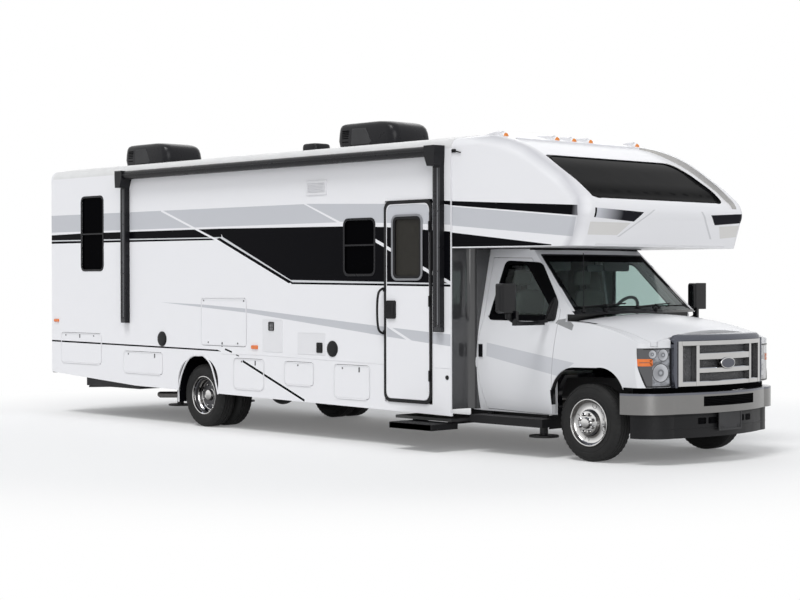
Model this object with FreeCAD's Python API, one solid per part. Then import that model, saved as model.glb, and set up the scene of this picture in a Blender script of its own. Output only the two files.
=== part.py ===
import FreeCAD, Part
import math
import os

# Class C motorhome, millimetres. X runs forward, Y to the left, Z up.
# The origin lies on the ground under the middle of the vehicle.

# Chassis driving dimensions
FRONT_AXLE_X = 4035
WHEELBASE = 5690
REAR_AXLE_X = FRONT_AXLE_X - WHEELBASE
TYRE_RADIUS = 368
TYRE_WIDTH = 225
BEAD_RADIUS = 203.2
FLANGE_RADIUS = 226
FLANGE_THICKNESS = 10
BARREL_THICKNESS = 8
FRONT_WHEEL_Y = 881
DUAL_OUTER_Y = 1110
DUAL_INNER_Y = 850
KINGPIN_Y = 800
KINGPIN_RADIUS = 28
SPINDLE_RADIUS = 30
FIT = 0.3
RAIL_OUTER_Y = 430
RAIL_FLANGE = 70
RAIL_PLATE = 8
RAIL_BOTTOM = 560
RAIL_TOP = 760
RAIL_FRONT_AHEAD = 620
RAIL_REAR_INSET = 120

# Coach driving dimensions
COACH_SETBACK = 1530
COACH_LENGTH = 7330
COACH_FRONT_X = FRONT_AXLE_X - COACH_SETBACK
COACH_REAR_X = COACH_FRONT_X - COACH_LENGTH
HALF_WIDTH = 1275
WALL = 40
SKIRT = 25
SEAM_Z = 858
FLOOR_TOP = 930
WALL_TOP = 3020
ROOF_EDGE_Z = 3122
ROOF_CROWN_Z = 3225
ROOF_EDGE_IN = 95
ROOF_THICKNESS = 55
SKIRT_FRONT_Z = 361
SKIRT_REAR_Z = 430
SKIRT_KINK_BEHIND = 5460
SKIRT_TAIL_Z = 532
REAR_WALL_BOTTOM = 632
ARCH_FRONT = 368
ARCH_REAR = 407
ARCH_TOP = 835
DOOR_GAP = 5
HINGE_RADIUS = 5
HINGE_PROUD = HINGE_RADIUS + FIT
HINGE_LEAF = 3
PLATE_SPACING = 177.8
PLATE_HOLE = 3
PLATE_Z = 760
HITCH_Z = 447
HITCH_OUTER = 32
HITCH_BORE = 25.4
HITCH_PIN = 8

# Cab driving dimensions
CAB_HALF_WIDTH = 1010
CAB_SILL_Z = 413
CAB_SKIN = 60
NOSE_SKIN = 28
BELT_Z = 1385
CAB_ROOF_Z = 2020
CAB_FLOOR_TOP = 800
CAB_FLOOR_THICKNESS = 30
FIREWALL_THICKNESS = 20
WHEELHOUSE_Y = 540
WHEEL_Y = 440
STEERING_RADIUS = 190
SLIVER = 200000
SEAL_DEPTH = 40
CAB_HINGE_AHEAD = -383
CAB_HINGE_Y = CAB_HALF_WIDTH + 4
COWL_CORNER = -195
COWL_MIDDLE = -92
HOOD_HINGE_AHEAD = -190
HOOD_HINGE_Z = 1378
HOOD_HALF = 905
GUTTER = 50
LAMP_INNER_Y = 692
FIREWALL_BEHIND = 300
NOSE_AHEAD = 835
BUMPER_AHEAD = 930
VALANCE_BOTTOM = 250
OVERCAB_HALF_WIDTH = HALF_WIDTH - 15
OVERCAB_BASE_Z = 2030
OVERCAB_WALL = 40
OVERCAB_ROUND = 115
POCKET_DEPTH = 55
POCKET_HALF = OVERCAB_HALF_WIDTH - 140
POCKET_BOTTOM = 2425
PANE_INSET = 60

# Entry door, behind the coach front
ENTRY_FRONT = 301
ENTRY_REAR = 926
ENTRY_BOTTOM = 500
ENTRY_TOP = 2490
ENTRY_FRAME = 38
ENTRY_PROUD = 15
STEP_WELL_IN = 520
STEP_TRAVEL = 260

# Slide room on the left side
SLIDE_FRONT = 650
SLIDE_REAR = 3650
SLIDE_BOTTOM = 960
SLIDE_TOP = 2700
SLIDE_TRAVEL = 700
SLIDE_WALL = 40
SLIDE_FLANGE = 45
SLIDE_FLANGE_THICKNESS = 25
SLIDE_ENGAGED = 40

# Baggage doors: name, near and far edge behind the coach front, bottom, top
HIGH_DOOR_Z = 1200
RIGHT_DOORS = [
    ("baggage_door_r1", 6180, 7110, 666, 1046),
    ("baggage_door_r2", 4876, 5700, 586, 845),
    ("baggage_door_r3", 3260, 4110, 963, 1508),
    ("baggage_door_r4", 2950, 3500, 485, 826),
    ("baggage_door_r5", 2096, 2595, 570, 820),
    ("baggage_door_r6", 1197, 1762, 465, 816),
]
LEFT_DOORS = [
    ("baggage_door_l1", 6180, 7110, 666, 1046),
    ("baggage_door_l2", 1197, 1762, 465, 816),
]
BIN_DEPTH = 420
BIN_WALL = 6
BIN_CORNER = 45

# Windows: near and far edge behind the coach front, bottom, top
BEDROOM_WINDOW = (6130, 6636, 1834, 2775)
MIDDLE_WINDOW = (1110, 1607, 1759, 2361)
GALLEY_WINDOW = (4350, 5150, 1900, 2450)
SLIDE_WINDOW = (1350, 2900, 1750, 2450)
WINDOW_CORNER = 70
GLASS = 8

# Roof equipment
AIR_FRONT_BEHIND = 2350
AIR_REAR_BEHIND = 6625
AIR_LENGTH = 950
AIR_WIDTH = 600
AIR_TOP = 3520
VENT_BEHIND = 3530
VENT_SIZE = 260
VENT_TOP = 3340

# Awning
AWNING_FRONT = 190
AWNING_REAR = 5560
AWNING_Z = 2996
AWNING_RADIUS = 53
AWNING_ARM_WIDTH = 95
AWNING_ARM_DEPTH = 68
AWNING_ARM_BOTTOM = 1195


def vec(x, y, z):
    return FreeCAD.Vector(x, y, z)


def ahead(distance):
    return FRONT_AXLE_X + distance


def behind(distance):
    return COACH_FRONT_X - distance


def box(x0, x1, y0, y1, z0, z1):
    low = vec(min(x0, x1), min(y0, y1), min(z0, z1))
    return Part.makeBox(abs(x1 - x0), abs(y1 - y0), abs(z1 - z0), low)


def outline(place, start, steps):
    """A face through points; a pair of points is an arc through the first to the second."""
    edges = []
    here = start
    for step in steps:
        if isinstance(step[0], tuple):
            via, end = step
            edges.append(Part.Arc(place(here), place(via), place(end)).toShape())
            here = end
        else:
            edges.append(Part.LineSegment(place(here), place(step)).toShape())
            here = step
    if here != start:
        edges.append(Part.LineSegment(place(here), place(start)).toShape())
    return Part.Face(Part.Wire(edges))


def side_slab(y0, y1, start, *steps):
    face = outline(lambda p: vec(p[0], y0, p[1]), start, steps)
    return face.extrude(vec(0, y1 - y0, 0))


def front_slab(x0, x1, start, *steps):
    face = outline(lambda p: vec(x0, p[0], p[1]), start, steps)
    return face.extrude(vec(x1 - x0, 0, 0))


def plan_slab(z0, z1, start, *steps):
    face = outline(lambda p: vec(p[0], p[1], z0), start, steps)
    return face.extrude(vec(0, 0, z1 - z0))


def turned(x, y, z, outward, start, *steps):
    """A solid turned about a wheel's axle; points are (distance outward, radius)."""
    face = outline(lambda p: vec(x, y + outward * p[0], z + p[1]), start, steps)
    return face.revolve(vec(x, y, z), vec(0, 1, 0), 360)


def rod(a, b, radius):
    return Part.makeCylinder(radius, (b - a).Length, a, b - a)


def bent_rod(points, radius):
    solid = rod(points[0], points[1], radius)
    for a, b in zip(points[1:], points[2:]):
        solid = solid.fuse([Part.makeSphere(radius, a), rod(a, b, radius)])
    return solid


def rounded_slab(y0, y1, x0, x1, z0, z1, corner):
    """A plate in a side wall, with rounded corners in the side view."""
    k = corner * (1 - math.sqrt(0.5))
    return side_slab(
        y0, y1, (x0 + corner, z0),
        (x1 - corner, z0), ((x1 - k, z0 + k), (x1, z0 + corner)),
        (x1, z1 - corner), ((x1 - k, z1 - k), (x1 - corner, z1)),
        (x0 + corner, z1), ((x0 + k, z1 - k), (x0, z1 - corner)),
        (x0, z0 + corner), ((x0 + k, z0 + k), (x0 + corner, z0)))


def mirrored(shape):
    return shape.mirror(vec(0, 0, 0), vec(0, 1, 0))


def both(shape):
    return [shape, mirrored(shape)]


def keep_large(shape):
    """Drop the slivers that a trimmed skin leaves at its edges."""
    solids = [s for s in shape.Solids if s.Volume > SLIVER]
    return solids[0] if len(solids) == 1 else Part.makeCompound(solids)


def save(name, *shapes):
    solids = []
    for shape in shapes:
        solids.extend(shape.Solids)
    whole = solids[0] if len(solids) == 1 else Part.makeCompound(solids)
    whole.exportStep("parts/%s.step" % name)


# Wheels, axles and steering

def tyre(x, y, outward):
    half = TYRE_WIDTH / 2
    bead = half - 28
    sidewall = TYRE_RADIUS - BEAD_RADIUS
    profile = [
        (bead, BEAD_RADIUS),
        (bead, FLANGE_RADIUS + FIT),
        (half - 12, FLANGE_RADIUS + 14),
        (half, BEAD_RADIUS + 0.55 * sidewall),
        (half - 6, TYRE_RADIUS - 28),
        (half - 24, TYRE_RADIUS - 5),
        (half - 42, TYRE_RADIUS),
    ]
    other = [(-a, r) for a, r in reversed(profile)]
    points = profile + other
    return turned(x, y, TYRE_RADIUS, outward, points[0], *points[1:])


def rim(x, y, outward, disc):
    """A barrel with two flanges, carrying the disc whose outer and inner side are given."""
    half = TYRE_WIDTH / 2 - 28 + FLANGE_THICKNESS
    inner = half - FLANGE_THICKNESS
    under = BEAD_RADIUS - BARREL_THICKNESS
    points = [
        (-half, FLANGE_RADIUS), (-inner, FLANGE_RADIUS), (-inner, BEAD_RADIUS),
        (inner, BEAD_RADIUS), (inner, FLANGE_RADIUS), (half, FLANGE_RADIUS), (half, under),
    ]
    points += disc(under)
    points += [(-half, under)]
    return turned(x, y, TYRE_RADIUS, outward, points[0], *points[1:])


def hand_holes(x, y, radius, size, reach):
    holes = []
    for k in range(4):
        angle = math.radians(45 + 90 * k)
        cx = x + radius * math.cos(angle)
        cz = TYRE_RADIUS + radius * math.sin(angle)
        holes.append(Part.makeCylinder(size, 2 * reach, vec(cx, y - reach, cz), vec(0, 1, 0)))
    return holes


def front_disc(under):
    return [
        (40, under), (58, 160), (58, 100), (75, 88), (98, 78), (104, 55), (104, 0),
        (88, 0), (88, SPINDLE_RADIUS + FIT), (44, SPINDLE_RADIUS + FIT),
        (44, 156), (26, under),
    ]


def rear_outer_disc(under):
    return [
        (-50, under), (-106, 150), (-106, 95), (-40, 85), (15, 78), (22, 55), (22, 0),
        (6, 0), (6, SPINDLE_RADIUS + FIT), (-130, SPINDLE_RADIUS + FIT), (-130, 156), (-64, under),
    ]


def rear_inner_disc(under):
    return [
        (64, under), (130, 156), (130, SPINDLE_RADIUS + FIT),
        (112, SPINDLE_RADIUS + FIT), (112, 150), (50, under),
    ]


def front_wheel(side):
    y = side * FRONT_WHEEL_Y
    wheel = rim(FRONT_AXLE_X, y, side, front_disc)
    wheel = wheel.cut(hand_holes(FRONT_AXLE_X, y, 130, 22, 100))
    name = "right" if side < 0 else "left"
    save("tyre_front_" + name, tyre(FRONT_AXLE_X, y, side))
    save("rim_front_" + name, wheel)


def rear_wheels(side):
    outer_y = side * DUAL_OUTER_Y
    inner_y = side * DUAL_INNER_Y
    outer = rim(REAR_AXLE_X, outer_y, side, rear_outer_disc)
    inner = rim(REAR_AXLE_X, inner_y, side, rear_inner_disc)
    wheel = outer.fuse(inner)
    middle = (outer_y + inner_y) / 2
    wheel = wheel.cut(hand_holes(REAR_AXLE_X, middle, 125, 24, 60))
    name = "right" if side < 0 else "left"
    save("tyres_rear_" + name, tyre(REAR_AXLE_X, outer_y, side), tyre(REAR_AXLE_X, inner_y, side))
    save("rims_rear_" + name, wheel)


def knuckle(side):
    low = TYRE_RADIUS - 85
    high = TYRE_RADIUS + 85
    y = side * KINGPIN_Y
    barrel = Part.makeCylinder(KINGPIN_RADIUS, high - low, vec(FRONT_AXLE_X, y, low))
    end = side * (FRONT_WHEEL_Y + 86)
    spindle = rod(vec(FRONT_AXLE_X, y, TYRE_RADIUS), vec(FRONT_AXLE_X, end, TYRE_RADIUS), SPINDLE_RADIUS)
    name = "right" if side < 0 else "left"
    save("knuckle_" + name, barrel.fuse(spindle))


def front_axle():
    x = FRONT_AXLE_X
    low = TYRE_RADIUS - 85 - FIT
    high = TYRE_RADIUS + 85 + FIT
    web_in = KINGPIN_Y - 120
    web_out = KINGPIN_Y - 80
    beam = box(x - 35, x + 35, -web_out, web_out, TYRE_RADIUS - 75, TYRE_RADIUS - 5)
    pieces = []
    for side in (-1, 1):
        pieces.append(box(x - 35, x + 35, side * web_in, side * web_out, low - 25, high + 25))
        pieces.append(box(x - 35, x + 35, side * web_in, side * (KINGPIN_Y + 30), high, high + 25))
        pieces.append(box(x - 35, x + 35, side * web_in, side * (KINGPIN_Y + 30), low - 25, low))
        coil_y = side * (RAIL_OUTER_Y + 70)
        pieces.append(Part.makeCylinder(55, RAIL_BOTTOM - TYRE_RADIUS + 20, vec(x, coil_y, TYRE_RADIUS - 10)))
        pieces.append(box(x - 80, x + 80, side * RAIL_OUTER_Y, side * (RAIL_OUTER_Y + 140),
                          RAIL_BOTTOM, RAIL_BOTTOM + 60))
    save("front_axle", beam.fuse(pieces))


def rear_axle():
    x = REAR_AXLE_X
    tube_end = DUAL_INNER_Y - TYRE_WIDTH / 2 - 20
    spindle_end = DUAL_OUTER_Y + 4
    tube = rod(vec(x, -tube_end, TYRE_RADIUS), vec(x, tube_end, TYRE_RADIUS), 50)
    spindle = rod(vec(x, -spindle_end, TYRE_RADIUS), vec(x, spindle_end, TYRE_RADIUS), SPINDLE_RADIUS)
    housing = Part.makeSphere(165, vec(x, 0, TYRE_RADIUS))
    drums = []
    for side in (-1, 1):
        drums.append(rod(vec(x, side * tube_end, TYRE_RADIUS),
                         vec(x, side * (DUAL_INNER_Y + 100), TYRE_RADIUS), 150))
    save("rear_axle", tube.fuse([spindle, housing] + drums + both(leaf_spring())))


def leaf_spring():
    x = REAR_AXLE_X
    inner = RAIL_OUTER_Y + 65
    outer = inner + 70
    low = TYRE_RADIUS + 48
    leaf = side_slab(
        inner, outer, (x - 640, 600), ((x, low), (x + 640, 600)),
        (x + 640, 640), ((x, low + 45), (x - 640, 640)))
    hangers = []
    for end in (-640, 640):
        hangers.append(box(x + end - 40, x + end + 40, RAIL_OUTER_Y, outer, 590, 680))
    return leaf.fuse(hangers)


# Frame and running gear under the floor

def frame_rails():
    front = ahead(RAIL_FRONT_AHEAD)
    rear = COACH_REAR_X + RAIL_REAR_INSET
    inner = RAIL_OUTER_Y - RAIL_FLANGE
    rail = box(rear, front, inner, RAIL_OUTER_Y, RAIL_BOTTOM, RAIL_TOP)
    hollow = box(rear, front, inner, RAIL_OUTER_Y - RAIL_PLATE,
                 RAIL_BOTTOM + RAIL_PLATE, RAIL_TOP - RAIL_PLATE)
    save("frame_rails", *both(rail.cut(hollow)))


def cross_members():
    inner = RAIL_OUTER_Y - RAIL_PLATE
    places = [ahead(560), ahead(-720), behind(700), behind(2300), REAR_AXLE_X + 620,
              REAR_AXLE_X - 520, behind(5650), behind(7150)]
    bars = []
    for x in places:
        bars.append(box(x - 35, x + 35, -inner, inner, RAIL_BOTTOM + 62, RAIL_TOP - 30))
    for distance in (60, 1900, 2700, 5800, 7240):
        x = behind(distance)
        bars.append(box(x - 30, x + 30, -HALF_WIDTH + WALL, HALF_WIDTH - WALL, RAIL_TOP, SEAM_Z))
    save("cross_members", *bars, step_frame())


def engine():
    block = box(ahead(-230), ahead(520), -320, 320, 600, 1120)
    gearbox = box(ahead(-620), ahead(-230), -170, 170, 470, 680)
    start = vec(ahead(-610), 0, 560)
    end = vec(REAR_AXLE_X + 165 + FIT, 0, TYRE_RADIUS + 10)
    save("engine_and_driveshaft", block.fuse([gearbox, rod(start, end, 45)]))


def exhaust():
    y = -260
    points = [vec(ahead(-640), y, 470), vec(REAR_AXLE_X + 500, y, 470), vec(REAR_AXLE_X + 250, y, 600),
              vec(REAR_AXLE_X - 250, y, 600), vec(REAR_AXLE_X - 420, y - 60, 480),
              vec(REAR_AXLE_X - 760, -960, 330), vec(REAR_AXLE_X - 1120, -1020, 315)]
    pipe = bent_rod(points, 38)
    muffler = rod(vec(behind(1700), y, 470), vec(behind(2600), y, 470), 85)
    hangers = [box(behind(1500), behind(1460), y - 20, y + 20, 500, RAIL_TOP - 8),
               box(behind(2900), behind(2860), y - 20, y + 20, 500, RAIL_TOP - 8)]
    web = -RAIL_OUTER_Y + RAIL_PLATE + FIT
    ties = [box(behind(1500), behind(1460), web, y, 590, 620),
            box(behind(2900), behind(2860), web, y, 590, 620)]
    save("exhaust", pipe.fuse([muffler] + hangers + ties))


def tanks():
    half = RAIL_OUTER_Y - RAIL_FLANGE
    fuel = box(REAR_AXLE_X - 1400, REAR_AXLE_X - 640, -half, half, 400, 740)
    holding = box(REAR_AXLE_X - 2700, REAR_AXLE_X - 1520, -1050, 1050, 365, RAIL_BOTTOM)
    save("tanks", fuel, holding)


def levelling_jacks():
    jacks = []
    for x in (ahead(-990), REAR_AXLE_X - 1000 - 420):
        y = RAIL_OUTER_Y + 70
        tube = Part.makeCylinder(42, RAIL_TOP - 50 - 150, vec(x, y, 150))
        pad = Part.makeCylinder(150, 20, vec(x, y, 141))
        bracket = box(x - 90, x + 90, RAIL_OUTER_Y, y + 40, RAIL_BOTTOM + 30, RAIL_TOP - 50)
        jacks.append(tube.fuse([pad, bracket]))
    save("levelling_jacks", *[s for jack in jacks for s in both(jack)])


# Coach body

def skirt_profile():
    """The skirt's lower edge slopes up to the rear and kinks behind the rear wheel."""
    return [
        (COACH_FRONT_X, SKIRT_FRONT_Z),
        (behind(SKIRT_KINK_BEHIND), SKIRT_REAR_Z),
        (COACH_REAR_X, SKIRT_TAIL_Z),
    ]


def arch_cut():
    x = REAR_AXLE_X
    mid = ARCH_TOP - 45
    return side_slab(
        -HALF_WIDTH - 10, HALF_WIDTH + 10, (x + ARCH_FRONT, 300),
        (x + ARCH_FRONT, 480), ((x + ARCH_FRONT - 45, 690), (x + 200, mid)),
        ((x + 10, ARCH_TOP), (x - 200, mid)),
        ((x - ARCH_REAR + 60, 690), (x - ARCH_REAR, 480)), (x - ARCH_REAR, 300))


def bin_room(spec, grow, y0, y1):
    """The square-cornered room behind a baggage door."""
    name, near, far, bottom, top = spec
    return box(behind(far) - grow, behind(near) + grow, y0, y1, bottom - grow, top + grow)


def door_box(spec, grow, y0, y1):
    name, near, far, bottom, top = spec
    return rounded_slab(min(y0, y1), max(y0, y1), behind(far) - grow, behind(near) + grow,
                        bottom - grow, top + grow, BIN_CORNER + grow)


def skirts():
    profile = skirt_profile()
    right = side_slab(-HALF_WIDTH, -HALF_WIDTH + SKIRT, (COACH_FRONT_X, SEAM_Z), *profile,
                      (COACH_REAR_X, SEAM_Z))
    flap = box(REAR_AXLE_X - ARCH_REAR - 8, REAR_AXLE_X - ARCH_REAR, -HALF_WIDTH, -720, 276, SEAM_Z)
    right = right.cut(arch_cut()).fuse(flap)
    left = mirrored(right)
    reach = HALF_WIDTH + 50
    right = right.cut([door_box(d, DOOR_GAP, -reach, 0) for d in RIGHT_DOORS])
    left = left.cut([door_box(d, DOOR_GAP, 0, reach) for d in LEFT_DOORS])
    entry = box(behind(ENTRY_REAR) - ENTRY_FRAME, behind(ENTRY_FRONT) + ENTRY_FRAME,
                -reach, 0, ENTRY_BOTTOM - ENTRY_FRAME, SEAM_Z + 10)
    save("skirts", right.cut(entry), left)


def window_cut(window, y0, y1):
    near, far, bottom, top = window
    return rounded_slab(y0, y1, behind(far), behind(near), bottom, top, WINDOW_CORNER)


def wall_right():
    y0 = -HALF_WIDTH
    wall = box(COACH_REAR_X + WALL, COACH_FRONT_X, y0, y0 + WALL, SEAM_Z, WALL_TOP)
    cuts = [window_cut(BEDROOM_WINDOW, y0 - 10, y0 + WALL + 10),
            window_cut(MIDDLE_WINDOW, y0 - 10, y0 + WALL + 10)]
    cuts += [door_box(d, DOOR_GAP, y0 - 10, y0 + WALL + 10) for d in RIGHT_DOORS]
    cuts.append(box(behind(ENTRY_REAR) - ENTRY_FRAME, behind(ENTRY_FRONT) + ENTRY_FRAME,
                    y0 - 10, y0 + WALL + 10, SEAM_Z - 10, ENTRY_TOP + ENTRY_FRAME))
    save("wall_right", wall.cut(cuts))


def wall_left():
    y1 = HALF_WIDTH
    wall = box(COACH_REAR_X + WALL, COACH_FRONT_X, y1 - WALL, y1, SEAM_Z, WALL_TOP)
    cuts = [window_cut(BEDROOM_WINDOW, y1 - WALL - 10, y1 + 10),
            window_cut(GALLEY_WINDOW, y1 - WALL - 10, y1 + 10),
            box(behind(SLIDE_REAR) - DOOR_GAP, behind(SLIDE_FRONT) + DOOR_GAP,
                y1 - WALL - 10, y1 + 10, SLIDE_BOTTOM - DOOR_GAP, SLIDE_TOP + DOOR_GAP)]
    cuts += [door_box(d, DOOR_GAP, y1 - WALL - 10, y1 + 10) for d in LEFT_DOORS]
    save("wall_left", wall.cut(cuts))


def quarter_turn(edge, base, shoulder, top):
    """The middle point of an arc that leaves a vertical wall without bulging."""
    inward = edge - shoulder
    upward = top - base
    radius = (inward ** 2 + upward ** 2) / (2 * inward)
    half = math.atan2(upward, radius - inward) / 2
    return edge - radius + radius * math.cos(half), base + radius * math.sin(half)


def roof_section(x0, x1, inset):
    edge = HALF_WIDTH - inset
    shoulder = HALF_WIDTH - ROOF_EDGE_IN - inset / 2
    top = ROOF_EDGE_Z - inset
    crown = ROOF_CROWN_Z - inset
    y, z = quarter_turn(edge, WALL_TOP, shoulder, top)
    return front_slab(
        x0, x1, (-edge, WALL_TOP), (edge, WALL_TOP), ((y, z), (shoulder, top)),
        ((0, crown), (-shoulder, top)), ((-y, z), (-edge, WALL_TOP)))


def roof():
    outer = roof_section(COACH_REAR_X + WALL, COACH_FRONT_X, 0)
    inner = roof_section(COACH_REAR_X + WALL - 1, COACH_FRONT_X + 1, ROOF_THICKNESS)
    save("roof", outer.cut(inner))


def rear_wall():
    x1 = COACH_REAR_X + WALL
    low = HALF_WIDTH - SKIRT
    panel = box(COACH_REAR_X, x1, -HALF_WIDTH, HALF_WIDTH, SEAM_Z, WALL_TOP)
    tail = box(COACH_REAR_X, x1, -low, low, REAR_WALL_BOTTOM, SEAM_Z)
    whole = panel.fuse([tail, roof_section(COACH_REAR_X, x1, 0)])
    holes = [rod(vec(COACH_REAR_X - 1, s * PLATE_SPACING / 2, PLATE_Z),
                 vec(x1 + 1, s * PLATE_SPACING / 2, PLATE_Z), PLATE_HOLE) for s in (-1, 1)]
    save("rear_wall", whole.cut(holes))


def floor():
    deck = box(COACH_REAR_X + WALL, COACH_FRONT_X, -HALF_WIDTH + WALL, HALF_WIDTH - WALL,
               SEAM_Z, FLOOR_TOP)
    cuts = [box(behind(ENTRY_REAR), behind(ENTRY_FRONT), -HALF_WIDTH, -HALF_WIDTH + STEP_WELL_IN,
                SEAM_Z - 10, FLOOR_TOP + 10)]
    cuts += [bin_case(d, -1) for d in RIGHT_DOORS]
    cuts += [bin_case(d, 1) for d in LEFT_DOORS]
    save("floor", deck.cut(cuts).fuse(step_well()))


def bin_case(spec, side):
    """The outside of the box behind a baggage door, seated on the skirt and the wall."""
    y0 = side * (HALF_WIDTH - SKIRT)
    y1 = side * (HALF_WIDTH - SKIRT - BIN_DEPTH)
    case = bin_room(spec, DOOR_GAP + BIN_WALL, y0, y1)
    wall = box(COACH_REAR_X, COACH_FRONT_X, side * (HALF_WIDTH - WALL), side * HALF_WIDTH, SEAM_Z, WALL_TOP)
    return case.cut(wall)


def storage_bins():
    bins = []
    for side, specs in ((-1, RIGHT_DOORS), (1, LEFT_DOORS)):
        for spec in specs:
            back = HALF_WIDTH - SKIRT - BIN_DEPTH + BIN_WALL
            hollow = bin_room(spec, DOOR_GAP, side * HALF_WIDTH, side * back)
            bins.append(bin_case(spec, side).cut(hollow))
    save("storage_bins", *bins)


def step_well():
    x0 = behind(ENTRY_REAR)
    x1 = behind(ENTRY_FRONT)
    y0 = -HALF_WIDTH + WALL
    y1 = -HALF_WIDTH + STEP_WELL_IN
    low = ENTRY_BOTTOM - 30
    case = box(x0, x1, y0, y1, low, FLOOR_TOP)
    hollow = box(x0 + 12, x1 - 12, y0 - 10, y1 - 12, low + 12, FLOOR_TOP + 10)
    tread = box(x0 + 12, x1 - 12, (y0 + y1) / 2, y1 - 12, low + 12, (low + FLOOR_TOP) / 2)
    return case.cut(hollow).fuse(tread)


def coach_windows():
    y = HALF_WIDTH - 16
    panes = []
    panes.append(window_cut(BEDROOM_WINDOW, -y, -y + GLASS))
    panes.append(window_cut(MIDDLE_WINDOW, -y, -y + GLASS))
    panes.append(window_cut(BEDROOM_WINDOW, y - GLASS, y))
    panes.append(window_cut(GALLEY_WINDOW, y - GLASS, y))
    panes.append(overcab_pane())
    save("coach_windows", *panes)


def entry_frame_ring(y0, y1, inner, outer):
    x0 = behind(ENTRY_REAR)
    x1 = behind(ENTRY_FRONT)
    ring = rounded_slab(y0, y1, x0 - outer, x1 + outer, ENTRY_BOTTOM - outer, ENTRY_TOP + outer, 90)
    hole = rounded_slab(y0 - 5, y1 + 5, x0 - inner, x1 + inner, ENTRY_BOTTOM - inner,
                        ENTRY_TOP + inner, 70)
    return ring.cut(hole)


def entry_frame():
    save("entry_frame", entry_frame_ring(-HALF_WIDTH - ENTRY_PROUD, -HALF_WIDTH + WALL,
                                         DOOR_GAP, ENTRY_FRAME - 1))


def entry_door():
    x0 = behind(ENTRY_REAR)
    x1 = behind(ENTRY_FRONT)
    y0 = -HALF_WIDTH - ENTRY_PROUD
    y1 = y0 + WALL
    leaf = rounded_slab(y0, y1, x0, x1, ENTRY_BOTTOM, ENTRY_TOP, 65)
    window = rounded_slab(y0 - 5, y1 + 5, x0 + 106, x1 - 106, 1730, 2360, 60)
    leaf = leaf.cut(window)
    glass = rounded_slab(y0 + 14, y0 + 22, x0 + 106, x1 - 106, 1730, 2360, 60)
    handle = box(x0 + 20, x0 + 135, y0 - 18, y0, 1330, 1490)
    axis_x = x1 + HINGE_PROUD
    axis_y = y0 - HINGE_PROUD
    barrel = rod(vec(axis_x, axis_y, ENTRY_BOTTOM + 90), vec(axis_x, axis_y, ENTRY_TOP - 90), HINGE_RADIUS)
    strap = box(x1 - 25, axis_x, y0 - HINGE_LEAF, y0, ENTRY_BOTTOM + 90, ENTRY_TOP - 90)
    save("entry_door", leaf.fuse([handle, barrel, strap]))
    save("entry_door_glass", glass)


def step_frame():
    x0 = behind(830)
    x1 = behind(20)
    side = -HALF_WIDTH
    frame = box(x0, x1, side + 25, side + 555, 300, 330)
    posts = []
    for x in (x0, x1 - 40):
        posts.append(box(x, x + 40, side + 515, side + 555, 300, ENTRY_BOTTOM - 30))
        posts.append(box(x, x + 40, side + 75, side + 555, 440, ENTRY_BOTTOM - 30))
    return frame.fuse(posts)


def entry_step():
    t0 = behind(660)
    t1 = behind(50)
    side = -HALF_WIDTH
    tread = box(t0, t1, side - 225, side + 145, 222, 282)
    arms = []
    for x in (t0 + 30, t1 - 70):
        arms.append(box(x, x + 40, side + 75, side + 495, 270, 300 - FIT))
    save("entry_step", tread.fuse(arms))


def baggage_doors():
    for side, specs in ((-1, RIGHT_DOORS), (1, LEFT_DOORS)):
        for spec in specs:
            leaf = door_box(spec, 0, side * HALF_WIDTH, side * (HALF_WIDTH - SKIRT))
            save(spec[0], leaf.fuse(baggage_hinge(spec, side)))


def baggage_hinge(spec, side):
    """A long hinge on the outer face, along the bottom, or along the top of a high door."""
    name, near, far, bottom, top = spec
    high = top > HIGH_DOOR_Z
    z = top + HINGE_PROUD if high else bottom - HINGE_PROUD
    y = side * (HALF_WIDTH + HINGE_PROUD)
    x0 = behind(far) + BIN_CORNER + 5
    x1 = behind(near) - BIN_CORNER - 5
    barrel = rod(vec(x0, y, z), vec(x1, y, z), HINGE_RADIUS)
    reach = -30 if high else 30
    leaf = box(x0, x1, side * HALF_WIDTH, side * (HALF_WIDTH + HINGE_LEAF), z, z + reach)
    inside = box(x0, x1, side * HALF_WIDTH, side * (HALF_WIDTH + HINGE_PROUD), z,
                 z + (HINGE_PROUD if not high else -HINGE_PROUD))
    return [barrel, leaf, inside.common(barrel)]


def slide_room():
    x0 = behind(SLIDE_REAR)
    x1 = behind(SLIDE_FRONT)
    outer = HALF_WIDTH + FIT + SLIDE_FLANGE_THICKNESS
    inner = HALF_WIDTH - WALL - SLIDE_TRAVEL + SLIDE_ENGAGED - 40
    room = box(x0, x1, inner, outer, SLIDE_BOTTOM, SLIDE_TOP)
    hollow = box(x0 + SLIDE_WALL, x1 - SLIDE_WALL, inner - 10, outer - SLIDE_WALL,
                 SLIDE_BOTTOM + SLIDE_WALL, SLIDE_TOP - SLIDE_WALL)
    flange = box(x0 - SLIDE_FLANGE, x1 + SLIDE_FLANGE, HALF_WIDTH + FIT, outer,
                 SLIDE_BOTTOM - SLIDE_FLANGE, SLIDE_TOP + SLIDE_FLANGE)
    cut = window_cut(SLIDE_WINDOW, outer - SLIDE_WALL - 5, outer + 5)
    save("slide_room", room.fuse(flange).cut([hollow, cut]))
    save("slide_window", window_cut(SLIDE_WINDOW, outer - 24, outer - 24 + GLASS))


# Over-cab section

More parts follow.
